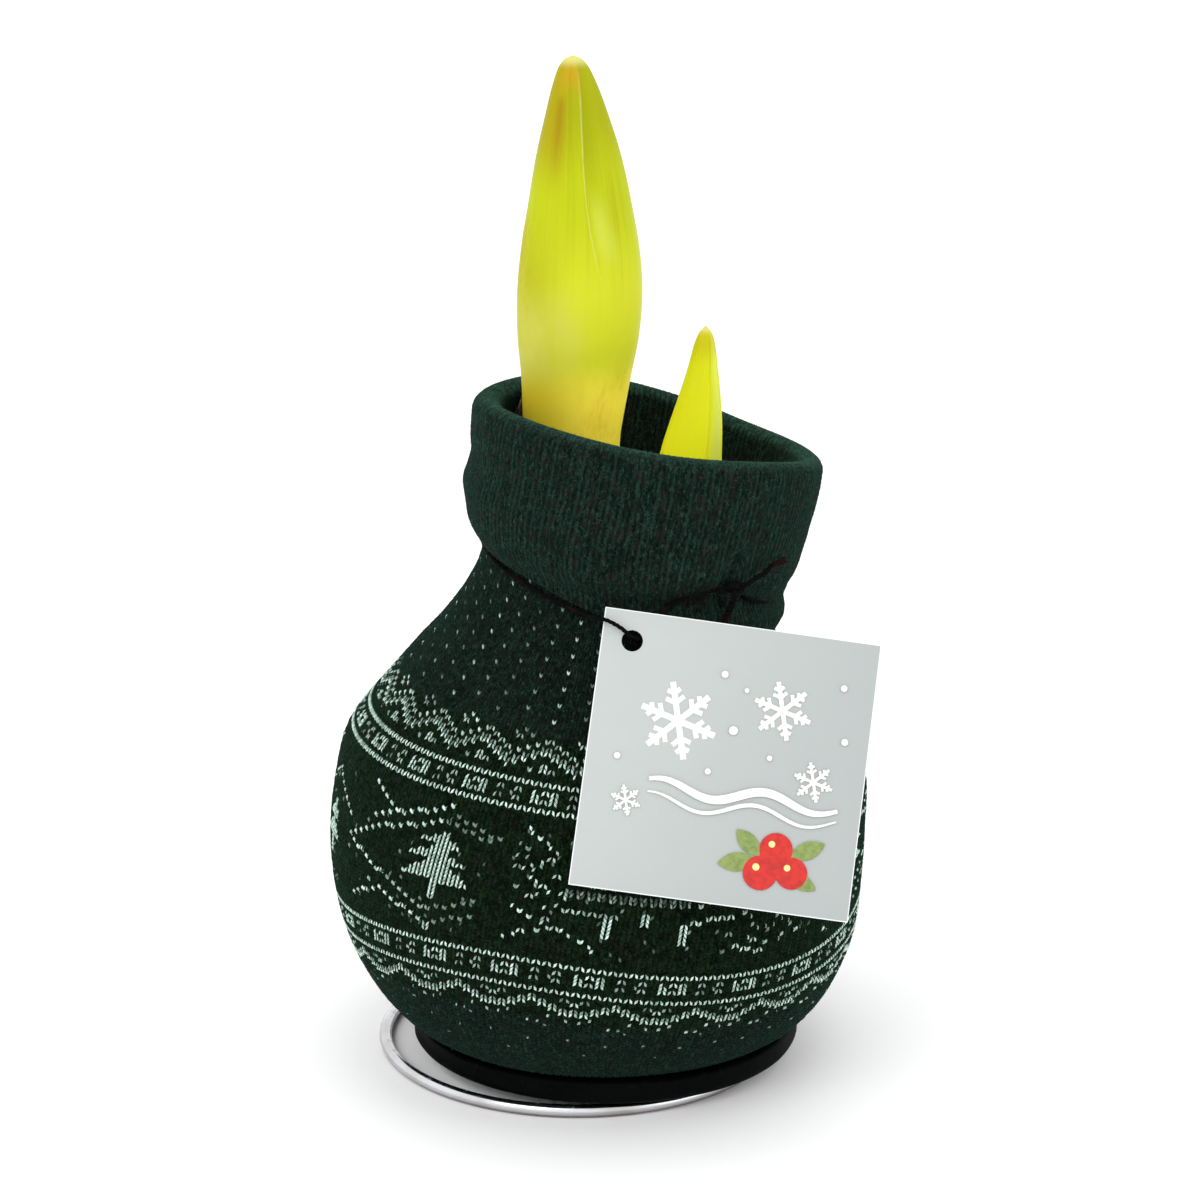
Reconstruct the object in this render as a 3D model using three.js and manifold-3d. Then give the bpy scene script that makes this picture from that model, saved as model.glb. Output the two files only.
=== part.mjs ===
// A waxed amaryllis bulb in a knitted sweater, on a bent wire stand, with a card tag on a string.
// Lengths are in millimetres and +Z is up. The origin is on the surface, under the middle of the part.
import * as THREE from "three";
import Module from "manifold-3d";
import { mergeVertices } from "three/addons/utils/BufferGeometryUtils.js";

const wasm = await Module();
wasm.setup();

// Clearance between pieces that touch.
const gap = 0.3;

// The bulb's axis is an arc that leaves the foot upright and leans towards +X, with a full belly at -X.
const leanRadius = 760;
const leanFoot = -0.3;
const bellySway = 1.2;
const bellyTop = 75;

// Wire stand: an outer ring between two bearings in degrees, then a spiral in to the eye.
const wireDiameter = 2.3;
const ringRadius = 35.85;
const ringCentre = new THREE.Vector2(-4.3, 1.8);
const ringStart = 60;
const ringEnd = 320;
const spiralPitch = 12.5;
const spiralEye = 5;
const spikeBend = 2.4;
const spikeTop = 27;

// Wax foot, cast flat on the bulb's underside.
const footRadius = 34.8;
const footBottom = wireDiameter + gap;
const footTop = 6.9;
const footRounding = 1.3;

// Knitted sweater: radius and height of its outer side, hem to collar.
const knitThickness = 1.5;
const knitSteps = 21;
const roundSteps = 40;
const knitProfile = [
  [33.9, 7.4], [37.6, 10.2], [41.9, 15.6], [45.7, 23.2], [47.9, 31.5], [48.8, 40.5], [48.3, 49],
  [46.6, 57], [43.2, 63.4], [38.2, 70.2], [33.2, 77], [28.9, 84], [26.2, 90], [25.9, 95], [27, 104],
  [27.7, 111], [27.9, 114.3],
];

// Turned-down collar: its outer side from its hem to the fold.
const foldHeight = 114.3;
const foldGap = 1.5;
const collarHem = 88.8;
const collarHemSlope = 5.8;
const collarProfile = [
  [29.3, collarHem], [29.6, 91.5], [30.2, 95.5], [30.8, 100], [31.1, 106], [30.9, foldHeight],
];
// The collar slumps towards +X below its fold, and the string pinches it near its hem.
const collarSlump = { shift: -1, height: 99, reach: 7 };
const pinch = { depth: 2, height: 91.2, slope: 2, rise: 3.6, bearing: -60, spread: 24, reach: 2.6 };

// Bulb neck, cut across above the sweater's tie.
const neckRadius = 21.5;
const neckHeight = 97;
const scaleRadius = 24.6;
const scaleTop = 121.5;

// Tall flower bud: half width at each height.
const budProfile = [
  [8, 92], [8.1, 104], [8.5, 113], [9.1, 120], [9.8, 126], [10.6, 131.5], [10.95, 137.5], [10.8, 143],
  [10.1, 149], [9.2, 154], [8.1, 160], [7, 165], [5.6, 170], [4.1, 175], [2.5, 179], [1.4, 180.3],
];
const budTip = 180.8;
const budDepth = 0.8;
const budBow = { x: -3.8, y: 1.5, middle: 150, reach: 35, sweep: -1.6 };

// Short shoot.
const shootProfile = [
  [6.2, 92], [5.95, 104], [5.5, 111], [4.95, 115.2], [4.25, 119], [3.45, 123], [2.5, 127],
  [1.95, 130], [1.1, 132.8],
];
const shootTip = 134.5;
const shootDepth = 0.62;
const shootBow = { x: 18.1, y: -0.5, middle: 140, reach: 29, sweep: -2.7 };

// Card tag.
const tagSide = 47;
const tagThickness = 0.45;
const tagCentre = new THREE.Vector3(20.7, -41.7, 67.8);
const tagTurn = new THREE.Euler(-0.413, 0.156, 0.058, "ZXY");
const tagHole = new THREE.Vector2(5.2, 5.1);
const tagHoleRadius = 1.8;

// String round the neck.
const stringDiameter = 1.2;
const knotRadius = 1.6;

const colours = {
  wax: 0x17110e,
  bud: 0xc9cc34,
  shoot: 0xd6e021,
  knit: 0x16302a,
  string: 0x0d0c0c,
  card: 0xd3d7d8,
  wire: 0xc4c6c8,
};

function material(color, roughness, metalness = 0) {
  return new THREE.MeshStandardMaterial({ color, roughness, metalness });
}

function vectors(pairs) {
  return pairs.map(([radius, height]) => new THREE.Vector2(radius, height));
}

// A ring or a closed body, turned about +Z from a profile of radius and height.
function turned(profile, segments) {
  return new THREE.LatheGeometry(profile, segments).rotateX(Math.PI / 2);
}

// Moves each vertex by a function of its place.
function reshaped(geometry, move) {
  const position = geometry.getAttribute("position");
  const point = new THREE.Vector3();
  for (let i = 0; i < position.count; i++) {
    point.fromBufferAttribute(position, i);
    move(point, i);
    position.setXYZ(i, point.x, point.y, point.z);
  }
  return geometry;
}

// Bends an upright point so that it follows the bulb's leaning axis.
function lean(point) {
  const angle = point.z / leanRadius;
  const reach = leanRadius - point.x;
  const belly = bellySway * Math.sin(Math.PI * THREE.MathUtils.clamp(point.z / bellyTop, 0, 1));
  point.x = leanFoot + leanRadius - reach * Math.cos(angle) - belly;
  point.z = reach * Math.sin(angle);
  return point;
}

// Points along a curve, moved square to it: a positive distance is away from the axis.
function alongside(curve, steps, distance) {
  const points = [];
  for (let i = 0; i <= steps; i++) {
    const tangent = curve.getTangentAt(i / steps);
    const point = curve.getPointAt(i / steps);
    points.push(new THREE.Vector2(point.x + tangent.y * distance, point.y - tangent.x * distance));
  }
  return points;
}

function arc(centre, radius, fromDegrees, toDegrees, steps) {
  const points = [];
  for (let i = 0; i <= steps; i++) {
    const angle = THREE.MathUtils.degToRad(fromDegrees + ((toDegrees - fromDegrees) * i) / steps);
    points.push(new THREE.Vector2(centre.x + radius * Math.cos(angle), centre.y + radius * Math.sin(angle)));
  }
  return points;
}

function solid(geometry) {
  const bare = geometry.index ? geometry.clone() : mergeVertices(geometry);
  bare.deleteAttribute("normal");
  bare.deleteAttribute("uv");
  const merged = mergeVertices(bare, 1e-4);
  return new wasm.Manifold(new wasm.Mesh({
    numProp: 3,
    vertProperties: new Float32Array(merged.getAttribute("position").array),
    triVerts: new Uint32Array(merged.index.array),
  }));
}

function geometryOf(body) {
  const mesh = body.getMesh();
  const geometry = new THREE.BufferGeometry();
  geometry.setAttribute("position", new THREE.BufferAttribute(mesh.vertProperties, 3));
  geometry.setIndex(new THREE.BufferAttribute(mesh.triVerts, 1));
  return geometry.toNonIndexed();
}

// A straight or curved tube of round section.
function tube(path, diameter, sides, steps, flatDown = false) {
  const section = new THREE.Shape();
  const start = flatDown ? Math.PI / sides : 0;
  const radius = flatDown ? diameter / 2 / Math.cos(Math.PI / sides) : diameter / 2;
  for (let i = 0; i < sides; i++) {
    const angle = start + (2 * Math.PI * i) / sides;
    const x = radius * Math.cos(angle);
    const y = radius * Math.sin(angle);
    if (i === 0) section.moveTo(x, y);
    else section.lineTo(x, y);
  }
  section.closePath();
  return new THREE.ExtrudeGeometry(section, { steps, extrudePath: path, bevelEnabled: false });
}

// The sideways place of a stalk's middle: it bows above the collar and is straight below.
function bowed(bow, height) {
  const along = Math.max(-1, (height - bow.middle) / bow.reach);
  return bow.x + bow.sweep * along * along;
}

// An upright pointed stalk of oval section. A growth above zero makes it a socket for itself.
function stalk(profile, tip, depth, bow, segments, growth = 0) {
  const side = vectors(profile).map((point) => new THREE.Vector2(point.x + growth, point.y));
  side[0].y -= growth;
  const outline = [new THREE.Vector2(0, side[0].y), ...side, new THREE.Vector2(0, tip + growth)];
  return reshaped(turned(outline, segments), (point) => {
    point.x += bowed(bow, point.z);
    point.y = point.y * (depth + growth / profile[0][0] / 2) + bow.y;
  });
}

// The overlap of the two spathe valves, a low ridge that runs down from the tip and turns to +X.
function withSeam(geometry, bow) {
  const seam = { top: 180, bottom: 138, turn: 34, height: 0.5, width: 9 };
  return reshaped(geometry, (point) => {
    const middle = bowed(bow, point.z);
    const drop = (seam.top - point.z) / (seam.top - seam.bottom);
    if (drop < 0 || drop > 1) return;
    const bearing = THREE.MathUtils.radToDeg(Math.atan2(point.x - middle, bow.y - point.y));
    const off = (bearing - seam.turn * drop) / seam.width;
    const radius = Math.hypot(point.x - middle, point.y - bow.y);
    if (radius < 1) return;
    const lift = 1 + (seam.height * Math.exp(-off * off) * Math.min(1, 4 * (1 - drop))) / radius;
    point.x = middle + (point.x - middle) * lift;
    point.y = bow.y + (point.y - bow.y) * lift;
  });
}

function makeSweater() {
  const knit = new THREE.SplineCurve(vectors(knitProfile));
  const collar = new THREE.SplineCurve(vectors(collarProfile));
  const pocketSide = knitProfile.at(-1)[0];
  const fold = new THREE.Vector2(pocketSide + foldGap / 2, foldHeight);
  const body = alongside(knit, knitSteps, 0);
  const pocket = arc(fold, foldGap / 2, 180, 0, 3).slice(1);
  const collarInside = alongside(collar, 7, -knitThickness).reverse().slice(1);
  const collarOutside = alongside(collar, 9, 0);
  const roll = arc(fold, foldGap / 2 + knitThickness, 0, 180, 6).slice(1);
  const inside = alongside(knit, knitSteps, -knitThickness).reverse().slice(1);
  const profile = [...body, ...pocket, ...collarInside, ...collarOutside, ...roll, ...inside, body[0]];
  const firstOfCollar = body.length + pocket.length;
  const lastOfCollar = firstOfCollar + collarInside.length + collarOutside.length - 1;
  return reshaped(turned(profile, roundSteps), (point, i) => {
    const place = i % profile.length;
    if (place >= firstOfCollar && place <= lastOfCollar) hangCollar(point);
    lean(point);
  });
}

// Slants the collar's hem, lets it slump and draws it in under the string.
function hangCollar(point) {
  const radius = Math.hypot(point.x, point.y);
  const across = point.x / radius;
  const bearing = THREE.MathUtils.radToDeg(Math.atan2(point.y, point.x));
  const hem = collarHem - collarHemSlope * across;
  point.z = foldHeight - ((foldHeight - point.z) * (foldHeight - hem)) / (foldHeight - collarHem);
  const raised = pinch.rise * Math.exp(-(((bearing - pinch.bearing) / pinch.spread) ** 2));
  const tie = pinch.height - pinch.slope * across + raised;
  const narrowed = 1 - (pinch.depth / radius) * Math.exp(-(((point.z - tie) / pinch.reach) ** 2));
  const slump = collarSlump.shift * Math.exp(-(((point.z - collarSlump.height) / collarSlump.reach) ** 2));
  point.x = point.x * narrowed + slump;
  point.y *= narrowed;
}

// The dry neck scale that stands up behind the tall bud.
function makeDryScale() {
  const from = 112;
  const to = 172;
  const base = 94;
  const thickness = 1;
  const slant = 7;
  return reshaped(new THREE.BoxGeometry(1, 1, 1, 10, 1, 4), (point) => {
    const along = 0.5 - point.x;
    const angle = THREE.MathUtils.degToRad(from + (to - from) * along);
    const ragged = 0.9 * Math.sin(along * 17) * (point.z + 0.5);
    const top = scaleTop - slant * Math.abs(along - 0.35) + ragged;
    const height = base + (top - base) * (point.z + 0.5);
    const spread = neckRadius - 2.6 + (scaleRadius - neckRadius + 2.6) * Math.min(1, (height - base) / 9);
    const radius = spread + thickness * point.y;
    point.set(radius * Math.cos(angle), radius * Math.sin(angle), height);
    lean(point);
  });
}

function makeBulb() {
  const knit = new THREE.SplineCurve(vectors(knitProfile));
  const skin = alongside(knit, knitSteps, -knitThickness - gap);
  const sides = skin.filter((point) => point.y < neckHeight - 5);
  const inFoot = new THREE.Vector2(sides[0].x - 0.1, footBottom + 1);
  const steps = [
    [neckRadius + 1.4, neckHeight - 3], [neckRadius, neckHeight - 0.8], [neckRadius - 1.5, neckHeight],
    [neckRadius - 4.4, neckHeight - 0.2], [neckRadius - 5, neckHeight - 1.4],
    [neckRadius - 9, neckHeight - 1.2], [neckRadius - 9.6, neckHeight - 2.4], [0, neckHeight - 2],
  ];
  const holeRadius = wireDiameter / 2 + gap;
  const body = turned([new THREE.Vector2(0, inFoot.y), inFoot, ...sides, ...vectors(steps)], roundSteps);
  const corner = new THREE.Vector2(footRadius - footRounding, footBottom + footRounding);
  const footOutline = [
    new THREE.Vector2(0, footBottom),
    ...arc(corner, footRounding, -90, 0, 3),
    new THREE.Vector2(footRadius, footTop - 0.5),
    new THREE.Vector2(footRadius - 0.5, footTop),
    new THREE.Vector2(0, footTop),
  ];
  // The wax narrows from a dimple round the wire's bend to a close hole for the spike.
  const spikeHole = turned(vectors([
    [0, 0], [holeRadius + 3.4, 0], [holeRadius + 3.4, footBottom], [holeRadius, footTop],
    [holeRadius, spikeTop + gap], [0, spikeTop + gap],
  ]), 12);
  return solid(reshaped(body, lean))
    .add(solid(turned(footOutline, 48)))
    .add(solid(makeDryScale()))
    .subtract(solid(stalk(budProfile, budTip, budDepth, budBow, 24, gap)))
    .subtract(solid(stalk(shootProfile, shootTip, shootDepth, shootBow, 20, gap)))
    .subtract(solid(spikeHole));
}

// One wire: an outer ring, then a flat spiral that runs in to the middle and turns up into the spike.
function makeWire() {
  const height = wireDiameter / 2;
  const turnSteps = 100;
  const spiralDegrees = (360 * (ringRadius - spiralEye)) / spiralPitch;
  const spiralAt = (degrees) => {
    const inward = Math.max(0, degrees - ringEnd);
    const radius = ringRadius - (spiralPitch * inward) / 360;
    const angle = THREE.MathUtils.degToRad(degrees);
    const centre = ringCentre.clone().multiplyScalar(1 - inward / spiralDegrees);
    const out = new THREE.Vector3(Math.cos(angle), Math.sin(angle), 0).multiplyScalar(radius);
    return out.add(new THREE.Vector3(centre.x, centre.y, height));
  };
  const flat = [];
  for (let i = 0; i <= turnSteps; i++) {
    flat.push(spiralAt(ringStart + ((ringEnd + spiralDegrees - ringStart) * i) / turnSteps));
  }
  const inner = flat.at(-1);
  const spikeBase = new THREE.Vector3(0, 0, height + spikeBend);
  const onward = inner.clone().sub(flat.at(-2)).setLength(spiralEye * 0.7).add(inner);
  const route = new THREE.CurvePath();
  route.add(new THREE.CatmullRomCurve3(flat, false, "centripetal"));
  route.add(new THREE.CubicBezierCurve3(inner, onward, new THREE.Vector3(0, 0, height), spikeBase));
  route.add(new THREE.LineCurve3(spikeBase, new THREE.Vector3(0, 0, spikeTop)));
  return tube(route, wireDiameter, 8, 230, true);
}

const tagPlace = new THREE.Matrix4().compose(
  tagCentre,
  new THREE.Quaternion().setFromEuler(tagTurn),
  new THREE.Vector3(1, 1, 1),
);

// A point given by its distances from the tag's left and top edges, and in front of its middle plane.
function onTag(fromLeft, fromTop, inFront) {
  return new THREE.Vector3(fromLeft - tagSide / 2, -inFront, tagSide / 2 - fromTop).applyMatrix4(tagPlace);
}

function makeTag() {
  const half = tagSide / 2;
  const card = new THREE.Shape();
  card.moveTo(-half, -half);
  card.lineTo(half, -half);
  card.lineTo(half, half);
  card.lineTo(-half, half);
  card.closePath();
  const hole = new THREE.Path();
  hole.absarc(tagHole.x - half, half - tagHole.y, tagHoleRadius, 0, 2 * Math.PI, true);
  card.holes.push(hole);
  const options = { depth: tagThickness, bevelEnabled: false, curveSegments: 12 };
  const geometry = new THREE.ExtrudeGeometry(card, options);
  return geometry.rotateX(Math.PI / 2).translate(0, tagThickness / 2, 0);
}

// A point on the neck, given by its bearing from +X, its distance from the leaning axis and its height.
function onNeck(degrees, radius, height) {
  const angle = THREE.MathUtils.degToRad(degrees);
  return lean(new THREE.Vector3(radius * Math.cos(angle), radius * Math.sin(angle), height));
}

function makeString() {
  const knot = onNeck(-57, 31, 95);
  const loop = [
    knot,
    onNeck(-64, 30, 94.9), onNeck(-71, 29.7, 94.4), onNeck(-78, 30, 92.6),
    onTag(7.4, 3.6, -1.6), onTag(5, 4.4, 0), onTag(3.3, 3.5, 1.1), onTag(0.6, 2.4, 1.15),
    onTag(-1.6, 1.6, 0.4),
    onNeck(-107, 28.2, 89), onNeck(-120, 27.2, 89.9), onNeck(-142, 26.9, 91.5), onNeck(-160, 26.9, 92.7),
    onNeck(180, 26.9, 93), onNeck(165, 27, 92.6), onNeck(152, 27.4, 92.1), onNeck(141, 28.5, 91.9),
    onNeck(130, 29, 91.8), onNeck(110, 29, 91.7), onNeck(90, 29, 91.2), onNeck(60, 29, 90.3),
    onNeck(30, 29.1, 89.6), onNeck(0, 29.2, 89.3), onNeck(-20, 29.4, 90.2), onNeck(-40, 29.8, 92.6),
    knot,
  ];
  const longTail = [
    knot, onNeck(-51, 31.4, 97.2), onNeck(-47.5, 31.9, 98.4), onNeck(-42, 32, 99.8),
    onNeck(-39.5, 32.2, 100.5),
  ];
  const shortTail = [knot, onNeck(-61, 31, 92), onNeck(-63, 31, 88.5), onNeck(-62, 31.2, 85)];
  const parts = [[loop, 86], [longTail, 7], [shortTail, 6]].map(([points, steps]) =>
    solid(tube(new THREE.CatmullRomCurve3(points, false, "centripetal"), stringDiameter, 8, steps)));
  const lump = new THREE.IcosahedronGeometry(knotRadius, 2).translate(knot.x, knot.y, knot.z);
  return parts.reduce((body, part) => body.add(part), solid(lump));
}

const part = new THREE.Group();

function addPiece(name, geometry, finish) {
  const mesh = new THREE.Mesh(geometry, finish);
  mesh.name = name;
  part.add(mesh);
  return mesh;
}

addPiece("bulb", geometryOf(makeBulb()), material(colours.wax, 0.45));
const bud = withSeam(stalk(budProfile, budTip, budDepth, budBow, 28), budBow);
addPiece("tall_bud", bud, material(colours.bud, 0.5));
const shoot = stalk(shootProfile, shootTip, shootDepth, shootBow, 20);
addPiece("short_shoot", shoot, material(colours.shoot, 0.5));
addPiece("sweater", makeSweater(), material(colours.knit, 0.95));
addPiece("string", geometryOf(makeString()), material(colours.string, 0.9));
const tag = addPiece("tag", makeTag(), material(colours.card, 0.7));
tag.position.copy(tagCentre);
tag.rotation.copy(tagTurn);
addPiece("wire_stand", makeWire(), material(colours.wire, 0.3, 1));

// The finished part is set over the origin by the middle of its box.
part.updateMatrixWorld(true);
const extent = new THREE.Box3().setFromObject(part);
const middle = extent.getCenter(new THREE.Vector3());
part.position.set(-middle.x, -middle.y, -extent.min.z);
part.updateMatrixWorld(true);

export default part;
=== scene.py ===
import bpy
import math
from contextlib import contextmanager

import numpy as np
from mathutils import Euler, Matrix, Vector


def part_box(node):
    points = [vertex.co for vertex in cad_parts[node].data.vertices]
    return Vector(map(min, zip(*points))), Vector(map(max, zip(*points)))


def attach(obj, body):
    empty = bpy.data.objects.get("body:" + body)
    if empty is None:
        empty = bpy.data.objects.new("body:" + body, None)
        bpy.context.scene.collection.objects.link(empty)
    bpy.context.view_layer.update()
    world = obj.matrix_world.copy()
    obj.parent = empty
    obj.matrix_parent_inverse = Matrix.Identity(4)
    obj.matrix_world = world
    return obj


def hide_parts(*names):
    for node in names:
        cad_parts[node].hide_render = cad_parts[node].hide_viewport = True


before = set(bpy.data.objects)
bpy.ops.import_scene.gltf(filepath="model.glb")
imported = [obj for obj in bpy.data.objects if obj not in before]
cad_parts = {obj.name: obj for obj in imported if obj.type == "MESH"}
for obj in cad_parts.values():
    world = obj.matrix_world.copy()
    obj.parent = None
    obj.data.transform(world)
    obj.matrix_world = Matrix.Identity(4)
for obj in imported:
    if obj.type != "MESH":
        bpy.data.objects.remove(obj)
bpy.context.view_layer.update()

# Sizes are in millimetres here and become metres in place().
mm = 0.001

tagSet = {
    "side": 47.0,
    "thickness": 0.45,
    "centre": (20.7, -41.7, 67.8),
    "turn": (-0.413, 0.156, 0.058),
    "hole": (5.2, 5.1),
    "holeRadius": 1.8,
    "edgeBevel": 0.07,
}

tagLow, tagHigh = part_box("tag")
shift = np.array((tagLow + tagHigh) / 2) / mm - np.array(tagSet["centre"])
rng = np.random.default_rng(11)


def place(points):
    return (np.asarray(points, float) + shift) * mm


def deselect():
    if bpy.context.object and bpy.context.object.mode != "OBJECT":
        bpy.ops.object.mode_set(mode="OBJECT")
    bpy.ops.object.select_all(action="DESELECT")


def activate(obj):
    deselect()
    obj.select_set(True)
    bpy.context.view_layer.objects.active = obj


@contextmanager
def editing(obj):
    # Edit mode with the whole mesh selected.
    activate(obj)
    bpy.ops.object.mode_set(mode="EDIT")
    bpy.ops.mesh.select_all(action="SELECT")
    yield
    bpy.ops.object.mode_set(mode="OBJECT")


def applyAll(obj):
    activate(obj)
    for modifier in list(obj.modifiers):
        bpy.ops.object.modifier_apply(modifier=modifier.name)


def smoothShade(obj, degrees=None):
    activate(obj)
    if degrees is None:
        bpy.ops.object.shade_smooth()
    else:
        bpy.ops.object.shade_smooth_by_angle(angle=math.radians(degrees))


def fixNormals(obj, threshold=1e-6):
    with editing(obj):
        bpy.ops.mesh.remove_doubles(threshold=threshold)
        bpy.ops.mesh.normals_make_consistent(inside=False)


def getPoints(obj):
    points = np.empty(len(obj.data.vertices) * 3)
    obj.data.vertices.foreach_get("co", points)
    return points.reshape(-1, 3)


def setPoints(obj, points):
    obj.data.vertices.foreach_set("co", np.ascontiguousarray(points, float).ravel())
    obj.data.update()


def linked(name, mesh):
    obj = bpy.data.objects.new(name, mesh)
    bpy.context.collection.objects.link(obj)
    return obj


def simpleObject(name, points, edges, faces):
    mesh = bpy.data.meshes.new(name)
    mesh.from_pydata(points, edges, faces)
    mesh.update()
    return linked(name, mesh)


def meshObject(name, points, faces):
    # The quick way for a large mesh whose faces all have as many corners.
    mesh = bpy.data.meshes.new(name)
    mesh.vertices.add(len(points))
    mesh.vertices.foreach_set("co", np.ascontiguousarray(points, float).ravel())
    corners = faces.shape[1]
    mesh.loops.add(faces.size)
    mesh.loops.foreach_set("vertex_index", faces.ravel().astype(np.int32))
    mesh.polygons.add(len(faces))
    mesh.polygons.foreach_set("loop_start", np.arange(0, faces.size, corners, dtype=np.int32))
    mesh.update(calc_edges=True)
    mesh.validate()
    return linked(name, mesh)


def gridFaces(rows, columns, closed=False):
    # Four-cornered faces over rows of points, joined into a ring where closed.
    i = np.arange(rows - 1)[:, None] * columns
    j = np.arange(columns if closed else columns - 1)[None, :]
    after = (j + 1) % columns
    return np.stack([i + j, i + after, i + columns + after, i + columns + j], -1).reshape(-1, 4)


def cornerMap(obj, name, flat):
    # Gives every corner its point's place in a map.
    index = np.empty(len(obj.data.loops), np.int32)
    obj.data.loops.foreach_get("vertex_index", index)
    uv = obj.data.uv_layers.new(name=name)
    uv.data.foreach_set("uv", flat[index].astype(np.float32).ravel())


def finishPiece(obj, slot, material, *nodes):
    if material:
        obj.data.materials.clear()
        obj.data.materials.append(material)
    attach(obj, "root")
    if nodes:
        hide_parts(*nodes)
    print(obj.name, "ready,", len(obj.data.polygons), "faces")


class Value:
    # A node's output that takes part in plain arithmetic.
    def __init__(self, socket):
        self.socket = socket
        self.tree = socket.id_data

    def math(self, operation, *others, flipped=False):
        node = self.tree.nodes.new("ShaderNodeMath")
        node.operation = operation
        terms = [self, *others]
        if flipped:
            terms.reverse()
        for slotIn, term in zip(node.inputs, terms):
            feed(self.tree, slotIn, term)
        return Value(node.outputs[0])

    def __add__(self, other):
        return self.math("ADD", other)

    __radd__ = __add__

    def __sub__(self, other):
        return self.math("SUBTRACT", other)

    def __rsub__(self, other):
        return self.math("SUBTRACT", other, flipped=True)

    def __mul__(self, other):
        return self.math("MULTIPLY", other)

    __rmul__ = __mul__

    def __truediv__(self, other):
        return self.math("DIVIDE", other)

    def __pow__(self, other):
        return self.math("POWER", other)

    def __abs__(self):
        return self.math("ABSOLUTE")

    def clamped(self):
        return self.math("MAXIMUM", 0.0).math("MINIMUM", 1.0)


def feed(tree, socket, term):
    if isinstance(term, Value):
        tree.links.new(term.socket, socket)
    elif hasattr(term, "__len__"):
        socket.default_value = term if len(term) == len(socket.default_value) else (*term, 1.0)
    else:
        socket.default_value = term


class Finish:
    # A material around one Principled shader, whose fixed sockets are given by name.
    def __init__(self, name, **fixed):
        self.material = bpy.data.materials.new(name)
        self.material.use_nodes = True
        self.tree = self.material.node_tree
        self.shader = self.tree.nodes["Principled BSDF"]
        for key, value in fixed.items():
            feed(self.tree, self.shader.inputs[key.replace("_", " ")], value)

    def add(self, kind, settings=None, out=0, **sockets):
        node = self.tree.nodes.new("ShaderNode" + kind)
        for key, value in (settings or {}).items():
            setattr(node, key, value)
        for key, value in sockets.items():
            name = int(key[1:]) if key[0] == "n" and key[1:].isdigit() else key.replace("_", " ")
            feed(self.tree, node.inputs[name], value)
        return Value(node.outputs[out])

    def coords(self):
        return self.add("TexCoord", out="Object")

    def uv(self, name):
        return self.add("UVMap", {"uv_map": name})

    def attribute(self, name):
        return self.add("Attribute", {"attribute_name": name}, out="Fac")

    def stretched(self, vector, scale, turn=(0, 0, 0), move=(0, 0, 0)):
        return self.add("Mapping", Vector=vector, Scale=scale, Rotation=turn, Location=move)

    def noise(self, vector, scale, detail=2.0, roughness=0.5):
        return self.add("TexNoise", Vector=vector, Scale=scale, Detail=detail, Roughness=roughness)

    def split(self, vector):
        node = self.tree.nodes.new("ShaderNodeSeparateXYZ")
        feed(self.tree, node.inputs[0], vector)
        return [Value(output) for output in node.outputs]

    def ramp(self, value, low, high, to=(0.0, 1.0)):
        return self.add(
            "MapRange", {"interpolation_type": "SMOOTHSTEP"}, Value=value,
            From_Min=low, From_Max=high, To_Min=to[0], To_Max=to[1],
        )

    def mix(self, factor, first, second):
        return self.add("Mix", {"data_type": "RGBA"}, out=2, n0=factor, n6=first, n7=second)

    def coats(self, base, *coats):
        # Lays colours over each other, each through its own mask.
        for mask, *tone in coats:
            base = self.mix(mask, base, srgb(*tone))
        return base

    def bump(self, height, strength, distance, before=None):
        sockets = {"Height": height, "Strength": strength, "Distance": distance}
        if before is not None:
            sockets["Normal"] = before
        return self.add("Bump", **sockets)

    def paint(self, **links):
        for key, value in links.items():
            feed(self.tree, self.shader.inputs[key.replace("_", " ")], value)
        return self.material


def srgb(red, green, blue):
    return tuple(
        c / 12.92 if c <= 0.04045 else ((c + 0.055) / 1.055) ** 2.4
        for c in (red / 255, green / 255, blue / 255)
    )


studio = {
    "cameraSpot": (0.0, -560.0, 243.0),
    "cameraAim": (-0.415, 0.0, 84.53),
    "lens": 97.93,
    "lampAim": (0, 0, 0.08),
    "floorSize": 6.0,
    "floorDrop": 0.00002,
    "floorTone": (0.95, 0.95, 0.955),
    "worldTone": (1.0, 1.0, 1.0),
    "worldStrength": 1.3,
    "keySpot": (-0.75, -1.15, 1.25),
    "keySize": 0.9,
    "keyPower": 8.0,
    "fillSpot": (1.2, -0.6, 0.7),
    "fillSize": 1.0,
    "fillPower": 2.0,
}


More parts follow.
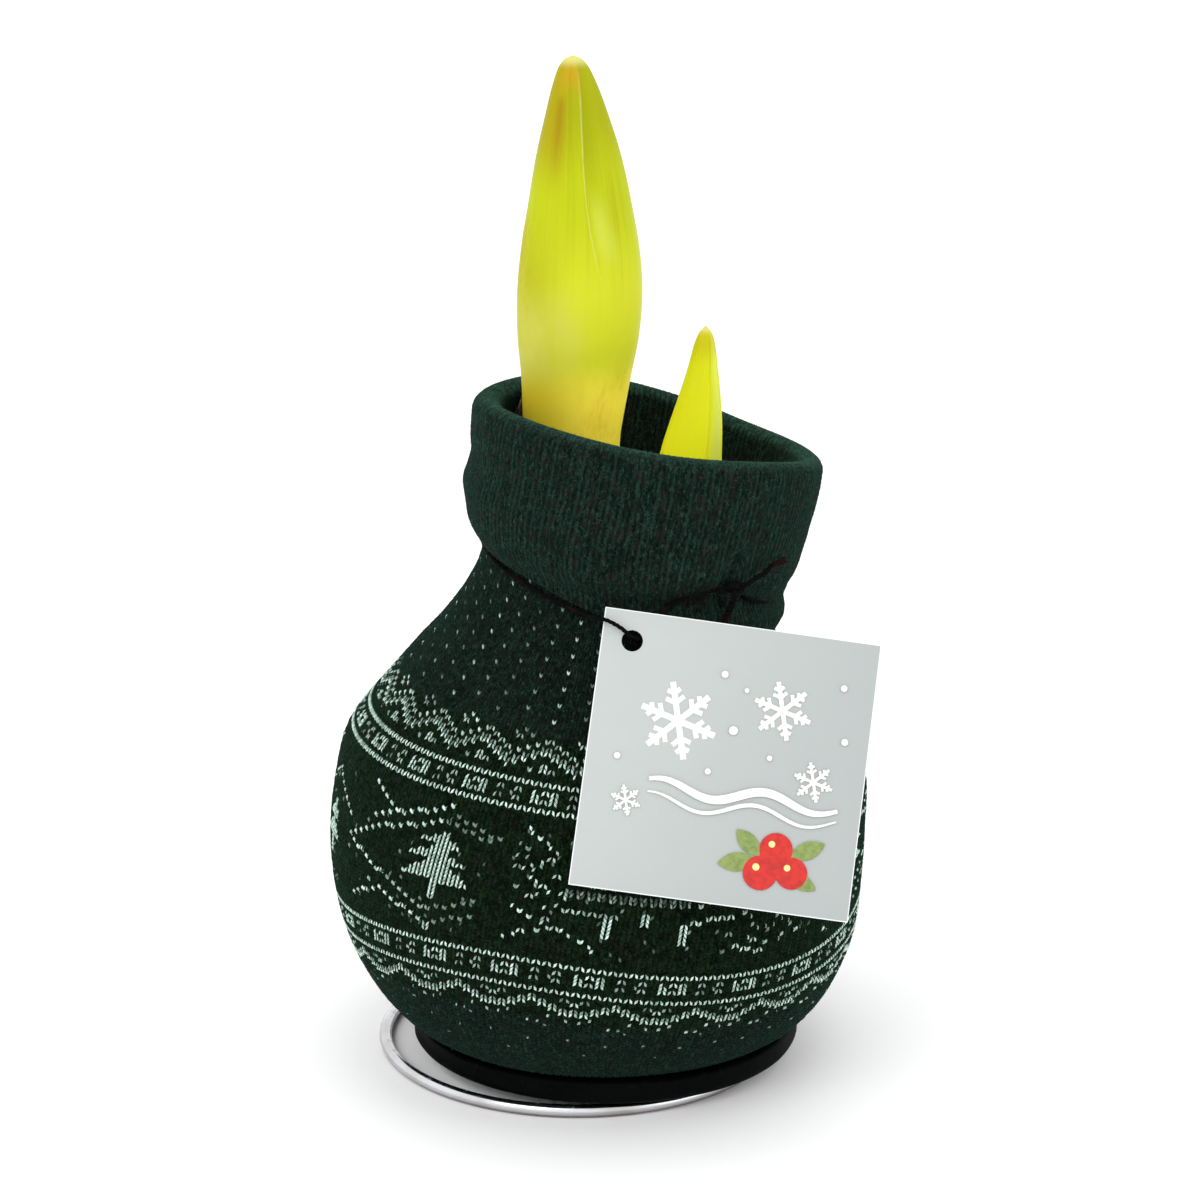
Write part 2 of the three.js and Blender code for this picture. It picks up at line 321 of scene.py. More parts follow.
def makeStudio():
    scene = bpy.context.scene
    scene.view_settings.view_transform = "Standard"
    spot = Vector(place(studio["cameraSpot"]))
    aim = Vector(place(studio["cameraAim"]))
    deselect()
    bpy.ops.object.camera_add(location=spot)
    camera = bpy.context.object
    camera.name = "camera"
    camera.rotation_euler = (aim - spot).to_track_quat("-Z", "Y").to_euler()
    camera.data.sensor_width = 36
    camera.data.lens = studio["lens"]
    camera.data.clip_start = 0.01
    scene.camera = camera

    bpy.ops.mesh.primitive_plane_add(size=studio["floorSize"], location=(0, 0, -studio["floorDrop"]))
    floor = bpy.context.object
    floor.name = "floor"
    look = Finish("floorPaint", Roughness=0.6)
    grain = look.noise(look.coords(), 40.0, 3.0)
    tone = studio["floorTone"]
    darker = tuple(c * 0.985 for c in tone)
    floor.data.materials.append(look.paint(Base_Color=look.mix(grain, darker, tone)))

    world = bpy.data.worlds.new("softbox")
    scene.world = world
    world.use_nodes = True
    background = world.node_tree.nodes["Background"]
    background.inputs["Color"].default_value = (*studio["worldTone"], 1)
    background.inputs["Strength"].default_value = studio["worldStrength"]

    for name in ("key", "fill"):
        bpy.ops.object.light_add(type="AREA", location=studio[name + "Spot"])
        lamp = bpy.context.object
        lamp.name = name
        lamp.data.energy = studio[name + "Power"]
        lamp.data.size = studio[name + "Size"]
        toBulb = Vector(studio["lampAim"]) - lamp.location
        lamp.rotation_euler = toBulb.to_track_quat("-Z", "Y").to_euler()
    print("studio ready")


lean = {"radius": 760.0, "foot": -0.3, "sway": 1.2, "bellyTop": 75.0}


def leanOver(x, y, h):
    # Bends upright points along the bulb's leaning axis.
    angle = h / lean["radius"]
    reach = lean["radius"] - x
    belly = lean["sway"] * np.sin(np.pi * np.clip(h / lean["bellyTop"], 0, 1))
    across = lean["foot"] + lean["radius"] - reach * np.cos(angle) - belly
    return np.stack([across, y + 0 * h, reach * np.sin(angle)], -1)


def throughPoints(points, samples):
    # A smooth curve through the points, evenly parted between each two.
    points = np.asarray(points, float)
    last = len(points) - 1
    t = np.linspace(0, last, samples)
    i = np.minimum(t.astype(int), last - 1)
    w = (t - i)[:, None]
    before, here = points[np.maximum(i - 1, 0)], points[i]
    there, after = points[i + 1], points[np.minimum(i + 2, last)]
    leave, arrive = (there - before) / 2, (after - here) / 2
    return ((2 * here - 2 * there + leave + arrive) * w**3
            + (3 * there - 3 * here - 2 * leave - arrive) * w**2 + leave * w + here)


def alongLengths(points):
    return np.r_[0, np.cumsum(np.linalg.norm(np.diff(points, axis=0), axis=1))]


def evenly(points, step):
    lengths = alongLengths(points)
    stops = np.linspace(0, lengths[-1], max(2, int(round(lengths[-1] / step)) + 1))
    return np.stack([np.interp(stops, lengths, points[:, k]) for k in range(points.shape[1])], -1)


def smoothly(table, value):
    curve = throughPoints(table, 40 * len(table))
    return np.interp(value, curve[:, 0], curve[:, 1])


def around(table, bearing):
    # A value given at a few bearings from -180 up, joined smoothly the whole way round.
    table = np.array(table, float)
    wrapped = np.concatenate([table - (360, 0), table, table + (360, 0)])
    return smoothly(wrapped, (bearing + 180) % 360 - 180)


def unit(vectors):
    return vectors / np.linalg.norm(vectors, axis=1)[:, None]


def hump(value, middle, reach):
    return np.exp(-(((value - middle) / reach) ** 2))


def ripples(angle, *waves):
    return sum(size * np.sin(count * angle + phase) for size, count, phase in waves)


def swell(low, high, value):
    t = np.clip((value - low) / (high - low), 0, 1)
    return t * t * (3 - 2 * t)


def sideways(points, distance):
    # Moves an outline of radius and height square to itself, away from the axis.
    tangent = unit(np.gradient(points, axis=0))
    return points + np.stack([tangent[:, 1], -tangent[:, 0]], -1) * distance


def arcPoints(centre, radius, start, end, count):
    angles = np.radians(np.linspace(start, end, count))
    return np.stack([centre[0] + radius * np.cos(angles), centre[1] + radius * np.sin(angles)], -1)


sweater = {
    "outline": [
        (33.9, 7.4), (37.6, 10.2), (41.9, 15.6), (45.7, 23.2), (47.9, 31.5), (48.8, 40.5), (48.3, 49),
        (46.6, 57), (43.2, 63.4), (38.2, 70.2), (33.2, 77), (28.9, 84), (26.2, 90), (25.9, 95), (27, 104),
        (27.7, 111), (27.9, 114.3),
    ],
    "thickness": 1.5,
    "wales": 176,
    "firstBearing": -173.28,
    "coursePitch": 0.745,
    "courseStart": 0.05,
    "knit": {"rise": 0.75, "relief": 0.52, "grooves": (-0.30, -0.14, -0.26, -0.14),
             "crests": (-0.26, 0.26, -0.14, 0.26)},
    "neckTop": 97.0,
    "rightSide": [(0, 1.9), (8, 1.8), (12, 1.5), (16, 1.2), (20, 0.8), (25, 0.4), (29, 0), (34, -0.6),
                  (40, -1), (47, -1), (55, -0.3), (62, 0), (70, -0.8), (76, -2.2), (82, -3.4),
                  (86, -2.8), (92, -2.2), (98, -1.2), (104, 0), (115, 0)],
    "leftSide": [(0, 0), (40, 0), (50, 0.2), (57, 0.7), (61, 0.5), (65, 0.2), (70, 0.4), (74, 0.6),
                 (78, 0.3), (83, 0.2), (88, 0.5), (93, 0.8), (98, 0.5), (115, 0)],
}

collar = {
    "outline": [(29.3, 88.8), (29.6, 91.5), (30.2, 95.5), (30.8, 100), (31.1, 106), (30.9, 114.3)],
    "fold": 114.3,
    "foldGap": 1.5,
    "hem": 88.8,
    "hemSlope": 5.8,
    "insideLow": 96.7,
    "insideCourses": 20,
    "middles": (26.6, 30.6),
    "coursePitch": 0.86,
    "courseStart": 0.3,
    "knit": {"rise": 0.9, "relief": 0.3, "grooves": (-0.34, -0.10, -0.18, -0.06),
             "crests": (-0.28, 0.20, -0.02, 0.22)},
    "lintAndShadow": {"bearing": -69.0, "radius": 31.0, "height": 94.2, "size": (7.0, 7.0, 2.8)},
    "rimLift": [(-180, 1.3), (-135, 2.2), (-90, 2.0), (-45, 1.6), (0, -0.8), (45, -1.5), (75, 0.2),
                (105, 1.9), (130, 2.1), (155, 1.5)],
    "rightSide": [(78, -3.2), (80, -3.2), (82.3, -3), (84.3, -2.4), (86.4, -1.3), (88.4, -0.7), (90.4, -1),
                  (92.5, -1.8), (94.5, -1.3), (96.5, -0.8), (98.6, -0.5), (101, -0.3), (105, -0.3), (112, 0),
                  (120, 0)],
    "leftSide": [(90, 0.3), (96, 0), (99, -0.2), (101, 0), (103, 0.3), (105, -0.1), (107.5, -0.4),
                 (110, 0.2), (113, 0.6), (116, 0.9), (120, 0.9)],
    "slump": {"shift": -1.0, "height": 99.0, "reach": 7.0},
    "pinch": {"depth": 2.0, "height": 91.2, "slope": 2.0, "rise": 3.6, "bearing": -60.0, "spread": 24.0,
              "reach": 2.6},
    "waves": ((0.35, 3, 0.6), (0.25, 5, 2.1), (0.15, 9, 0)),
    "creases": ((-1.1, -57.6, 2.4), (0.45, -52, 4), (0.4, -64, 5)),
}


def pushSides(x, y, h, style, share):
    # Fuller or slacker cloth at its two sides, by height.
    radius = np.hypot(x, y)
    across = x / radius
    push = smoothly(style["rightSide"], h) * np.maximum(across, 0) ** 2
    push = push + smoothly(style["leftSide"], h) * np.maximum(-across, 0) ** 2
    return x * (1 + share * push / radius), y * (1 + share * push / radius)


def hangCollar(x, y, h, hung):
    # Slants the collar's hem and rim, lets it slump and draws it in under the string.
    radius = np.hypot(x, y)
    across = x / radius
    bearing = np.degrees(np.arctan2(y, x))
    hem = collar["hem"] - collar["hemSlope"] * across
    drop = np.maximum(collar["fold"] - h, 0)
    low = h - drop * ((collar["fold"] - hem) / (collar["fold"] - collar["hem"]) - 1) * hung
    pinch, slump = collar["pinch"], collar["slump"]
    raised = pinch["rise"] * hump(bearing, pinch["bearing"], pinch["spread"])
    tie = pinch["height"] - pinch["slope"] * across + raised
    narrowed = 1 - hung * (pinch["depth"] / radius) * hump(low, tie, pinch["reach"])
    moved = hung * slump["shift"] * hump(low, slump["height"], slump["reach"])
    x, y = pushSides(x * narrowed + moved, y * narrowed, low, collar, hung)
    return x, y, low + around(collar["rimLift"], bearing) * swell(99, 114, low)


def outlinePath(outline, hung=None):
    normal = unit(np.gradient(outline, axis=0))
    return {
        "along": alongLengths(outline),
        "r": outline[:, 0],
        "h": outline[:, 1],
        "outR": normal[:, 1],
        "outH": -normal[:, 0],
        "hung": np.zeros(len(outline)) if hung is None else hung,
    }


def bodyPath():
    outline = throughPoints(sweater["outline"], 1600)
    outline = outline[outline[:, 1] <= sweater["neckTop"]]
    return outlinePath(outline)


def collarPath():
    # From inside the neck, up, over the fold and down to the turned-in hem.
    side = throughPoints(sweater["outline"], 800)
    inside = sideways(side, -sweater["thickness"])
    inside = inside[inside[:, 1] > collar["insideLow"]]
    outside = throughPoints(collar["outline"], 200)[::-1]
    roll = collar["foldGap"] / 2 + sweater["thickness"]
    foldCentre = (sweater["outline"][-1][0] + collar["foldGap"] / 2, collar["fold"])
    over = arcPoints(foldCentre, roll, 180, 0, 24)
    hemRound = sweater["thickness"] / 2
    edge = outside[-1]
    under = arcPoints((edge[0] - hemRound, edge[1]), hemRound, 0, -180, 10)
    tuck = np.array([[edge[0] - 2 * hemRound, edge[1] + 2.5]])
    outline = np.concatenate([inside[:-1], over, outside[1:], under[1:], tuck])
    hung = np.ones(len(outline))
    hung[:len(inside) - 1] = 0
    hung[len(inside) - 1:len(inside) - 1 + len(over)] = np.linspace(0, 1, len(over))
    path = outlinePath(outline, hung)
    path["outR"], path["outH"] = -path["outR"], -path["outH"]
    return path


def knitDrift(bearing, along):
    # How the courses ride up and down, and the wales lean, where the cloth is stretched.
    fade = swell(0, 17, along) * (1 - swell(34, 57, along))
    climb = 1.9 * np.cos(np.radians(3 * (bearing + 110))) * fade
    lean = 1 - 0.35 * swell(-108, -84, bearing) - 0.25 * swell(-84, -50, bearing)
    lean = lean + 0.6 * swell(20, 160, bearing)
    slide = -0.2 * np.clip(50 - along, 0, 42) * lean
    return climb, slide


def paintPattern(wales, courses):
    # Paleness of every leg of every stitch, two legs to a wale, course by course from the hem up.
    legs = 2 * wales
    pale = np.zeros((legs, courses))

    def dab(place, course, tone=1.0):
        # The one leg at a place that is counted in wales.
        leg, course = int(math.floor(2 * place)) % legs, int(math.floor(course + 0.5))
        if 0 <= course < courses:
            pale[leg, course] = max(pale[leg, course], tone)

    def stitch(wale, course, tone=1.0):
        # The V of the whole wale.
        wale = math.floor(wale + 0.5)
        dab(wale + 0.25, course, tone)
        dab(wale + 0.75, course, tone)

    def fill(start, end, course, tone=0.95):
        for leg in range(math.ceil(2 * start - 0.5), math.floor(2 * end - 0.5) + 1):
            dab(leg / 2 + 0.1, course, tone)

    def line(wale, course, toWale, toCourse, tone=0.8, mark=stitch, eachWale=1):
        steps = int(max(eachWale * abs(toWale - wale), abs(toCourse - course) * 0.8, 1))
        for i in range(steps + 1):
            mark(wale + (toWale - wale) * i / steps, course + (toCourse - course) * i / steps, tone)

    def tree(centre, course, rows, trunk, tone=1.0, flip=1):
        # A trunk of whole stitches, then each row's reach to the left and right in wales.
        for c in range(trunk):
            fill(centre - 0.45, centre + 0.45, course + c, tone)
        for c, (left, right) in enumerate(rows):
            reach = (left, right)[::flip]
            fill(centre - reach[0], centre + reach[1], course + trunk + c, tone)

    for leg in range(legs):
        place = (leg + 0.5) / 2
        for course, tone in ((82, 1.0), (76, 1.0), (39, 1.0), (32, 0.95)):
            dab(place, course, tone)
        fromPeak = abs((place - 0.75 + 4) % 8 - 4)
        high = 89.2 - fromPeak
        for up, tone in ((0, 1.0), (1, (0.5, 0.25)[leg % 2]), (3, (0.85, 0.5)[leg % 2])):
            dab(place, high + up, tone)
        fromTrough = abs((place - 1.0 + 4) % 8 - 4)
        low = 25.3 + 0.9 * fromTrough
        for up, tone in ((0, 1.0), (1, (0.35, 0.7)[leg % 2])):
            dab(place, low + up, tone)

    columnTone = rng.uniform(0.1, 0.45, wales)
    columnTone[::16] = 0.8
    for w in range(0, wales, 8):
        # Three-dot tufts under the peaks of the upper zigzag and over the troughs of the lower one.
        for side in (-1, 1):
            for out, course, tone in ((0.25, 85, 1.0), (0.25, 86, 0.85), (0.95, 85, 0.65), (1.45, 85, 0.4)):
                dab(w + 0.75 + side * out, course, tone)
            for out, course, tone in ((0.25, 29, 0.9), (0.95, 30, 0.5), (1.45, 30, 0.3)):
                dab(w + 1.0 + side * out, course, tone)
        # Boxes between the stripes, and five dots between the boxes.
        for base in (78, 35):
            for place, tones in (
                    (0.5, (1, 1, 0.9)), (1.0, (0.9, 0.9, 0)), (1.5, (0.6, 0, 0.95)), (2.0, (0.6, 0, 0.95)),
                    (2.5, (1, 1, 1)), (3.0, (0.8, 0.7, 0.5)), (4.5, (0.5, 0, 0.6)), (5.0, (0.3, 0, 0.35)),
                    (6.0, (0, 0.5, 0)), (6.5, (0.6, 0, 0.6)), (7.0, (0.5, 0, 0.5))):
                for c, tone in enumerate(tones):
                    dab(w + place, base + c, tone)
        # Little rings over the upper troughs.
        tone = 1.0 if w % 16 == 0 else 0.35
        for place, c, share in ((4.8, 92, 1), (5.3, 92, 1), (4.0, 93, 0.8), (4.4, 93, 1), (6.2, 93, 0.9),
                                (6.6, 93, 0.7), (5.1, 94, 0.9), (5.6, 94, 0.7)):
            dab(w + place, c, tone * share)
        for k in range(9):
            stitch(w, 97 + 4 * k, columnTone[w] * (1 - 0.35 * abs(k - 3) / 6))
            stitch(w + 4, 99 + 4 * k, columnTone[w + 4] * 0.8)
        # Fading dots towards the hem.
        for place, course, tone in (
                (4.6, 23, 0.9), (5.6, 23, 0.6), (1.9, 24, 0.7), (2.6, 25, 0.5), (6.9, 25, 0.7),
                (0.4, 24, 0.7), (6.0, 22, 0.35), (0.8, 18, 0.4), (4.6, 17, 0.4), (2.2, 13, 0.2)):
            dab(w + place, course, tone)

    tall = ((0.5, 3.9), (4.7, 3.4), (3.7, 3.0), (3.0, 2.2), (1.9, 1.5), (1.6, 2.8), (4.1, 2.2), (3.0, 1.0),
            (1.7, 0.8), (0.9, 2.2), (3.0, 1.6), (1.6, 0.6), (0.6, 0.3))
    short = ((3, 3), (2.2, 2.2), (1.3, 1.3), (0.6, 0.6), (2.2, 2.2), (1.3, 1.3), (0.6, 0.6), (0.3, 0.3))
    # Lines from wale and course to wale and course: diamonds round the tall tree, the roofs, the
    # same figures mirrored round the side, and the diamond of the short tree.
    crossings = (
        (10, 58, 16, 64, 0.95), (17, 64.3, 23, 68.5, 0.85), (24, 69, 29, 67, 0.3), (14, 65, 16, 67, 0.95),
        (17, 67.6, 24, 72.5, 1.0), (25, 71, 30, 67.5, 0.3), (13, 72, 16, 69, 0.95), (11, 57, 17, 52.5, 1.0),
        (18, 51.5, 24, 46.5, 0.55), (25, 47.5, 29, 51, 0.3), (12, 45, 17, 49, 1.0), (18, 48, 24, 43, 0.9),
        (24, 42, 24, 42, 0.8), (15, 50, 15, 50, 0.7), (25, 44, 29, 47, 0.3),
        (51, 57, 56, 64, 0.8), (56, 64, 62, 57, 0.8), (40, 70, 46, 64, 0.6), (50, 64, 58, 72, 0.7),
        (58, 72, 66, 64, 0.7),
        (86, 58, 80, 63.5, 0.9), (80, 63.5, 73, 68, 0.8), (73, 68, 66, 61, 0.7), (66, 58, 72.5, 46.5, 0.6),
        (85, 57, 74, 47, 0.8), (70, 47, 74, 43.5, 0.8), (76, 44, 82, 49, 0.7), (82, 49, 88, 44, 0.7),
        (79, 67, 86, 72, 0.7),
        (-2, 62, 3, 68, 0.8), (3, 68, 9, 62, 0.8),
    )
    # The diamonds that the tag half hides, in single legs.
    halfHidden = (
        (0.95, ((33.1, 72, 36.3, 67), (33.8, 62, 35.1, 64.4), (34.6, 59.5, 35.2, 59.4),
                (35.3, 59, 38.1, 56.3), (36.8, 61.3, 37.1, 60.5), (33.7, 51.8, 36.5, 49),
                (33.3, 44, 34.7, 46), (35.4, 46, 36.3, 47), (36.8, 53, 37.5, 54),
                (38.9, 47.5, 41.8, 44.4), (55.8, 47, 59.3, 44.6), (61.1, 47, 61.7, 48),
                (63.1, 48, 63.6, 48), (68.6, 44.4, 69.1, 43))),
        (0.7, ((32.7, 65.2, 33.6, 65), (35.6, 65, 36.1, 65), (34.5, 62.4, 35.3, 63), (35.2, 58, 35.7, 56.4),
               (34.8, 55, 35.2, 55), (36.5, 47.3, 38, 48.4), (38, 52.6, 39.8, 53), (57.3, 48.5, 59.6, 47),
               (56.1, 55, 57.2, 54))),
        (0.45, ((32.7, 67.8, 33.7, 66.6), (32.7, 62, 33.3, 61.5), (33.4, 56.7, 33.9, 56.7),
                (36.8, 50, 37, 50), (40.3, 52.6, 43.4, 53.4), (54.5, 49.5, 55, 49.5), (57.8, 52, 59.6, 50),
                (60.1, 51, 60.8, 53), (61.4, 51.5, 62.6, 50))),
    )
    for start in (0, wales // 2):
        tree(start + 24.5, 50, tall, 4)
        tree(start + 73.5, 50, tall, 4, 1.0, -1)
        tree(start + 4, 50, short, 4, 0.9)
        for wale, course, toWale, toCourse, tone in crossings:
            line(start + wale, course, start + toWale, toCourse, tone)
        for tone, strokes in halfHidden:
            for wale, course, toWale, toCourse in strokes:
                line(start + wale, course, start + toWale, toCourse, tone, dab, 2)
        # A row of small trees and a roof, whose trunks and eaves show under the tag.
        for place, foot, height in ((42.5, 48, 5), (46.0, 52, 3), (49.8, 48, 5)):
            for c in range(height):
                fill(start + place - 0.45, start + place + 0.45, foot + c, 1.0)
        for leg in range(76, 101):
            dab(start + leg / 2, 57, (0.5, 0.25, 0.45, 0.1)[leg % 4])
            dab(start + leg / 2, 58, (0.1, 0.35, 0.2)[leg % 3])
        for leg in range(100, 111):
            dab(start + leg / 2, 52.2 + min(leg - 100, 6) / 3 - max(leg - 106, 0) / 6, 0.95)
        for wale in (41, 45, 49):
            for c, reach in enumerate((1.5, 1.4, 0.9, 0.5)):
                fill(start + wale + 0.5 - reach, start + wale + 0.5 + reach, 60 + c, 0.9)
    # Faint stray dots between the figures.
    for _ in range(2 * wales):
        dab(rng.uniform(0, wales), rng.uniform(43, 73), rng.uniform(0.08, 0.3))
    return pale


def knitSheet(name, path, courses, pale, start, pitch, style, turned):
    # Each stitch is a V of two raised legs: four columns and three rows of faces.
    wales = sweater["wales"]
    first, last = courses
    rows = 3 * (last - first) + 1
    column = np.arange(4 * wales)
    part = column % 4
    lift = (np.array([0.5, 0.0, -0.5, 0.0])[part]) * style["rise"]
    course = first + np.arange(rows)[:, None] / 3 + lift[None, :]
    bearing = sweater["firstBearing"] + ((column - 2) / 4) * 360 / wales
    bearing = np.broadcast_to(bearing, course.shape)
    along = course * pitch + start
    if not turned:
        climb, slide = knitDrift((bearing + 180) % 360 - 180, along)
        along = along + climb
        bearing = bearing + slide
    angle = np.radians(bearing)
    wander = np.random.default_rng(5).normal(0, 1, (7, 2))
    for k, (a, b) in enumerate(wander):
        along = along + 0.05 * a * np.sin((k + 2) * angle + 3 * b + along * 0.06)
        angle = angle + 0.0012 * b * np.sin((k + 3) * angle + 2 * a + along * 0.09)
    along = np.clip(along, 0, path["along"][-1])
    isGroove = (np.arange(rows) % 3 == 0)[:, None]
    grooves, crests = np.array(style["grooves"]), np.array(style["crests"])
    height = np.where(isGroove, grooves[part][None, :], crests[part][None, :])
    rowOf = np.minimum(np.arange(rows) // 3, last - first - 1)
    waleOf = column // 4
    legOf = column // 2
    uneven = rng.normal(0, 1, (last - first, wales))
    height = height * (1 + 0.18 * uneven[rowOf][:, waleOf])
    courseOf = np.clip(first + rowOf, 0, pale.shape[1] - 1)
    raised = pale[legOf][:, courseOf].T * np.where(isGroove, 0, 0.12)
    height = (height + raised * (part % 2 == 1)) * style["relief"]

    def read(key):
        return np.interp(along, path["along"], path[key])

    hung = read("hung")
    height = height * np.sqrt(read("r") / 46)
    r = read("r") + read("outR") * height
    h = read("h") + read("outH") * height
    x, y = r * np.cos(angle), r * np.sin(angle)
    if path["hung"].any():
        x, y, h = hangCollar(x, y, h, hung)
        x, y = softFolds(x, y, h, angle, hung)
    else:
        x, y = pushSides(x, y, h, sweater, 1)
    points = place(leanOver(x, y, h).reshape(-1, 3))

    count = 4 * wales
    faces = gridFaces(rows, count, True)
    faceRow = np.repeat(np.arange(rows - 1), count)
    faceColumn = np.tile(np.arange(count), rows - 1)
    u = np.stack([faceColumn, faceColumn + 1, faceColumn + 1, faceColumn], -1) / 4
    v = first + np.stack([faceRow, faceRow, faceRow + 1, faceRow + 1], -1) / 3
    flat = np.stack([u, v], -1)
    if turned:
        faces, flat = faces[:, ::-1], flat[:, ::-1]
    obj = meshObject(name, points, faces)
    uv = obj.data.uv_layers.new(name="stitches")
    uv.data.foreach_set("uv", flat.astype(np.float32).ravel())
    leg = (faceRow // 3, faceColumn // 2)
    tone = pale[leg[1], np.clip(first + leg[0], 0, pale.shape[1] - 1)]
    patchy = 0.6 + 0.4 * np.sqrt(rng.uniform(0, 1, (last - first, 2 * wales)))
    tint = rng.uniform(0, 1, (last - first, 2 * wales))
    beside = np.maximum(np.roll(pale, 1, 0) * (np.arange(len(pale)) % 2 == 0)[:, None],
                        np.roll(pale, -1, 0) * (np.arange(len(pale)) % 2 == 1)[:, None])
    beside = np.maximum(beside, np.maximum(np.roll(pale, 1, 1), np.roll(pale, -1, 1)))
    filled = (beside > 0.3).astype(float)[leg[1], np.clip(first + leg[0], 0, pale.shape[1] - 1)]
    for key, values in (("pale", tone * patchy[leg]), ("tint", tint[leg]), ("filled", filled)):
        attribute = obj.data.attributes.new(key, "FLOAT", "FACE")
        attribute.data.foreach_set("value", values.astype(np.float32))
    smoothShade(obj)
    return obj


def softFolds(x, y, h, angle, hung):
    # Slack in the turned-down cloth: broad waves, and creases by the knot.
    degrees = (np.degrees(angle) + 180) % 360 - 180
    depth = np.clip((collar["fold"] - h) / 20, 0, 1)
    low = swell(104, 98, h)
    crease = sum(deep * hump(degrees, at, reach) * low for deep, at, reach in collar["creases"])
    push = hung * (depth * ripples(angle, *collar["waves"]) + crease) / np.hypot(x, y)
    return x * (1 + push), y * (1 + push)


def knitLook(name, tones, patterned):
    look = Finish(name, Roughness=0.95, Sheen_Weight=0.06, Sheen_Roughness=0.5,
                  Sheen_Tint=(0.35, 0.75, 0.6, 1), Specular_IOR_Level=0.0)
    point = look.coords()
    u, v, _ = look.split(look.uv("stitches"))
    inWale, inCourse = u.math("FRACT"), v.math("FRACT")
    fromCentre = abs(inWale - 0.5)
    alongLeg = (inCourse * math.pi).math("SINE")
    dark, mid, light, warm = tones
    tint = look.attribute("tint")
    fine = look.noise(look.stretched(point, (1, 1, 0.55)), 1900.0, 3.0, 0.75)
    grit = look.noise(look.stretched(point, (1, 1, 0.8), move=(0.13, 0.41, 0.27)), 3800.0, 2.0, 0.7)
    blotch = look.noise(look.stretched(point, (1, 1, 0.7)), 760.0, 4.0, 0.7)
    rusty = look.noise(look.stretched(point, (1, 1, 0.5), move=(0.31, 0.17, 0.05)), 1000.0, 4.0, 0.7)
    mottle = tint * 0.08 + fine * 0.42 + grit * 0.35 + blotch * 0.15
    base = look.mix(look.ramp(mottle, 0.39, 0.55), dark, mid)
    base = look.mix(look.ramp(mottle, 0.5, 0.65), base, light)
    base = look.mix(look.ramp(rusty, 0.5, 0.6) * 0.55, base, warm)
    # Gaps between the legs, darkened below as painted shade and sunk in the bump.
    gap = look.ramp(abs(fromCentre - 0.25), 0.13, 0.25)
    if patterned:
        inBand = look.ramp(v, 23.0, 26.0) * (1 - look.ramp(v, 91.0, 95.0))
        bandTone = look.mix(look.ramp(mottle, 0.42, 0.6), srgb(3, 6, 3), srgb(22, 38, 18))
        bandTone = look.mix(look.ramp(rusty, 0.5, 0.62) * 0.5, bandTone, srgb(19, 16, 8))
        base = look.mix(inBand * 0.85, base, bandTone)
        # Painted shade in the gaps between legs and at the ends of each leg.
        base = look.coats(base, ((gap * 0.55 + (1 - alongLeg) * 0.06).clamped(), 3, 6, 4))
    else:
        # A painted highlight along the top of the fold: lighter teal, broken by the mottle.
        rim = look.ramp(v, 20.5, 22.5) * (1 - look.ramp(v, 24.5, 28.0))
        base = look.coats(base, (rim * look.ramp(mottle, 0.42, 0.6, (0.15, 0.8)), 48, 78, 66))
        column = look.noise(look.stretched(look.uv("stitches"), (1, 0.09, 1)), 1.0, 2.0)
        rib = look.ramp(fromCentre, 0.25, 0.04) * look.ramp(column, 0.42, 0.62)
        base = look.mix(rib * 0.35, base, light)
        # Painted shade in the furrows between wales, in the gaps between legs and at the ends of each leg.
        furrow = look.ramp(fromCentre, 0.34, 0.5)
        base = look.coats(
            base,
            ((gap * 0.15 + furrow * 0.4 + (1 - alongLeg) * 0.06).clamped(), 5, 10, 8),
            # Rusty lint and painted shadow by the knot.
            (lintAndShadowMask(look, point), 15, 9, 7),
        )
    swollen = (1 - gap) * (alongLeg.math("MAXIMUM", 0.02) ** 0.5)
    normal = look.bump(swollen, 0.3 if patterned else 0.15, 0.0003)
    normal = look.bump(fine + grit * 0.5, 0.5, 0.00016, normal)
    if not patterned:
        return look.paint(Base_Color=base, Normal=normal)
    # The two legs meet low in the wale's middle and part upwards, and lone stitches shrink to dots.
    filled, lone = look.attribute("filled"), 1 - inBand
    legAt = inCourse * 0.08 + filled * 0.125 + 0.08
    toLeg = abs(fromCentre - legAt)
    yarn = look.ramp(toLeg + (fine - 0.5) * 0.08, 0.16, 0.1) * look.ramp(alongLeg, 0.05, 0.45)
    yarn = yarn * (1 - lone * look.ramp(inCourse, 0.6, 0.9))
    cover = (look.attribute("pale") * yarn * 1.05 * look.ramp(fine, 0.25, 0.5, (0.7, 1.0))).clamped()
    white = look.mix(look.ramp(fine, 0.3, 0.62), srgb(118, 170, 148), srgb(220, 238, 228))
    return look.paint(Base_Color=look.mix(cover, base, white), Normal=normal)


def lintAndShadowMask(look, point):
    # Rusty lint, and painted shadow, where the string bites into the collar.
    lintAndShadow = collar["lintAndShadow"]
    spot = place(onNeck(lintAndShadow["bearing"], lintAndShadow["radius"], lintAndShadow["height"]))
    scale = [1 / mm / size for size in lintAndShadow["size"]]
    near = look.stretched(point, scale, move=[-a * b for a, b in zip(spot, scale)])
    away = look.add("VectorMath", {"operation": "LENGTH"}, out=1, n0=near)
    return look.ramp(away + look.noise(point, 500.0, 3.0) * 0.6, 1.5, 0.6) * 0.75


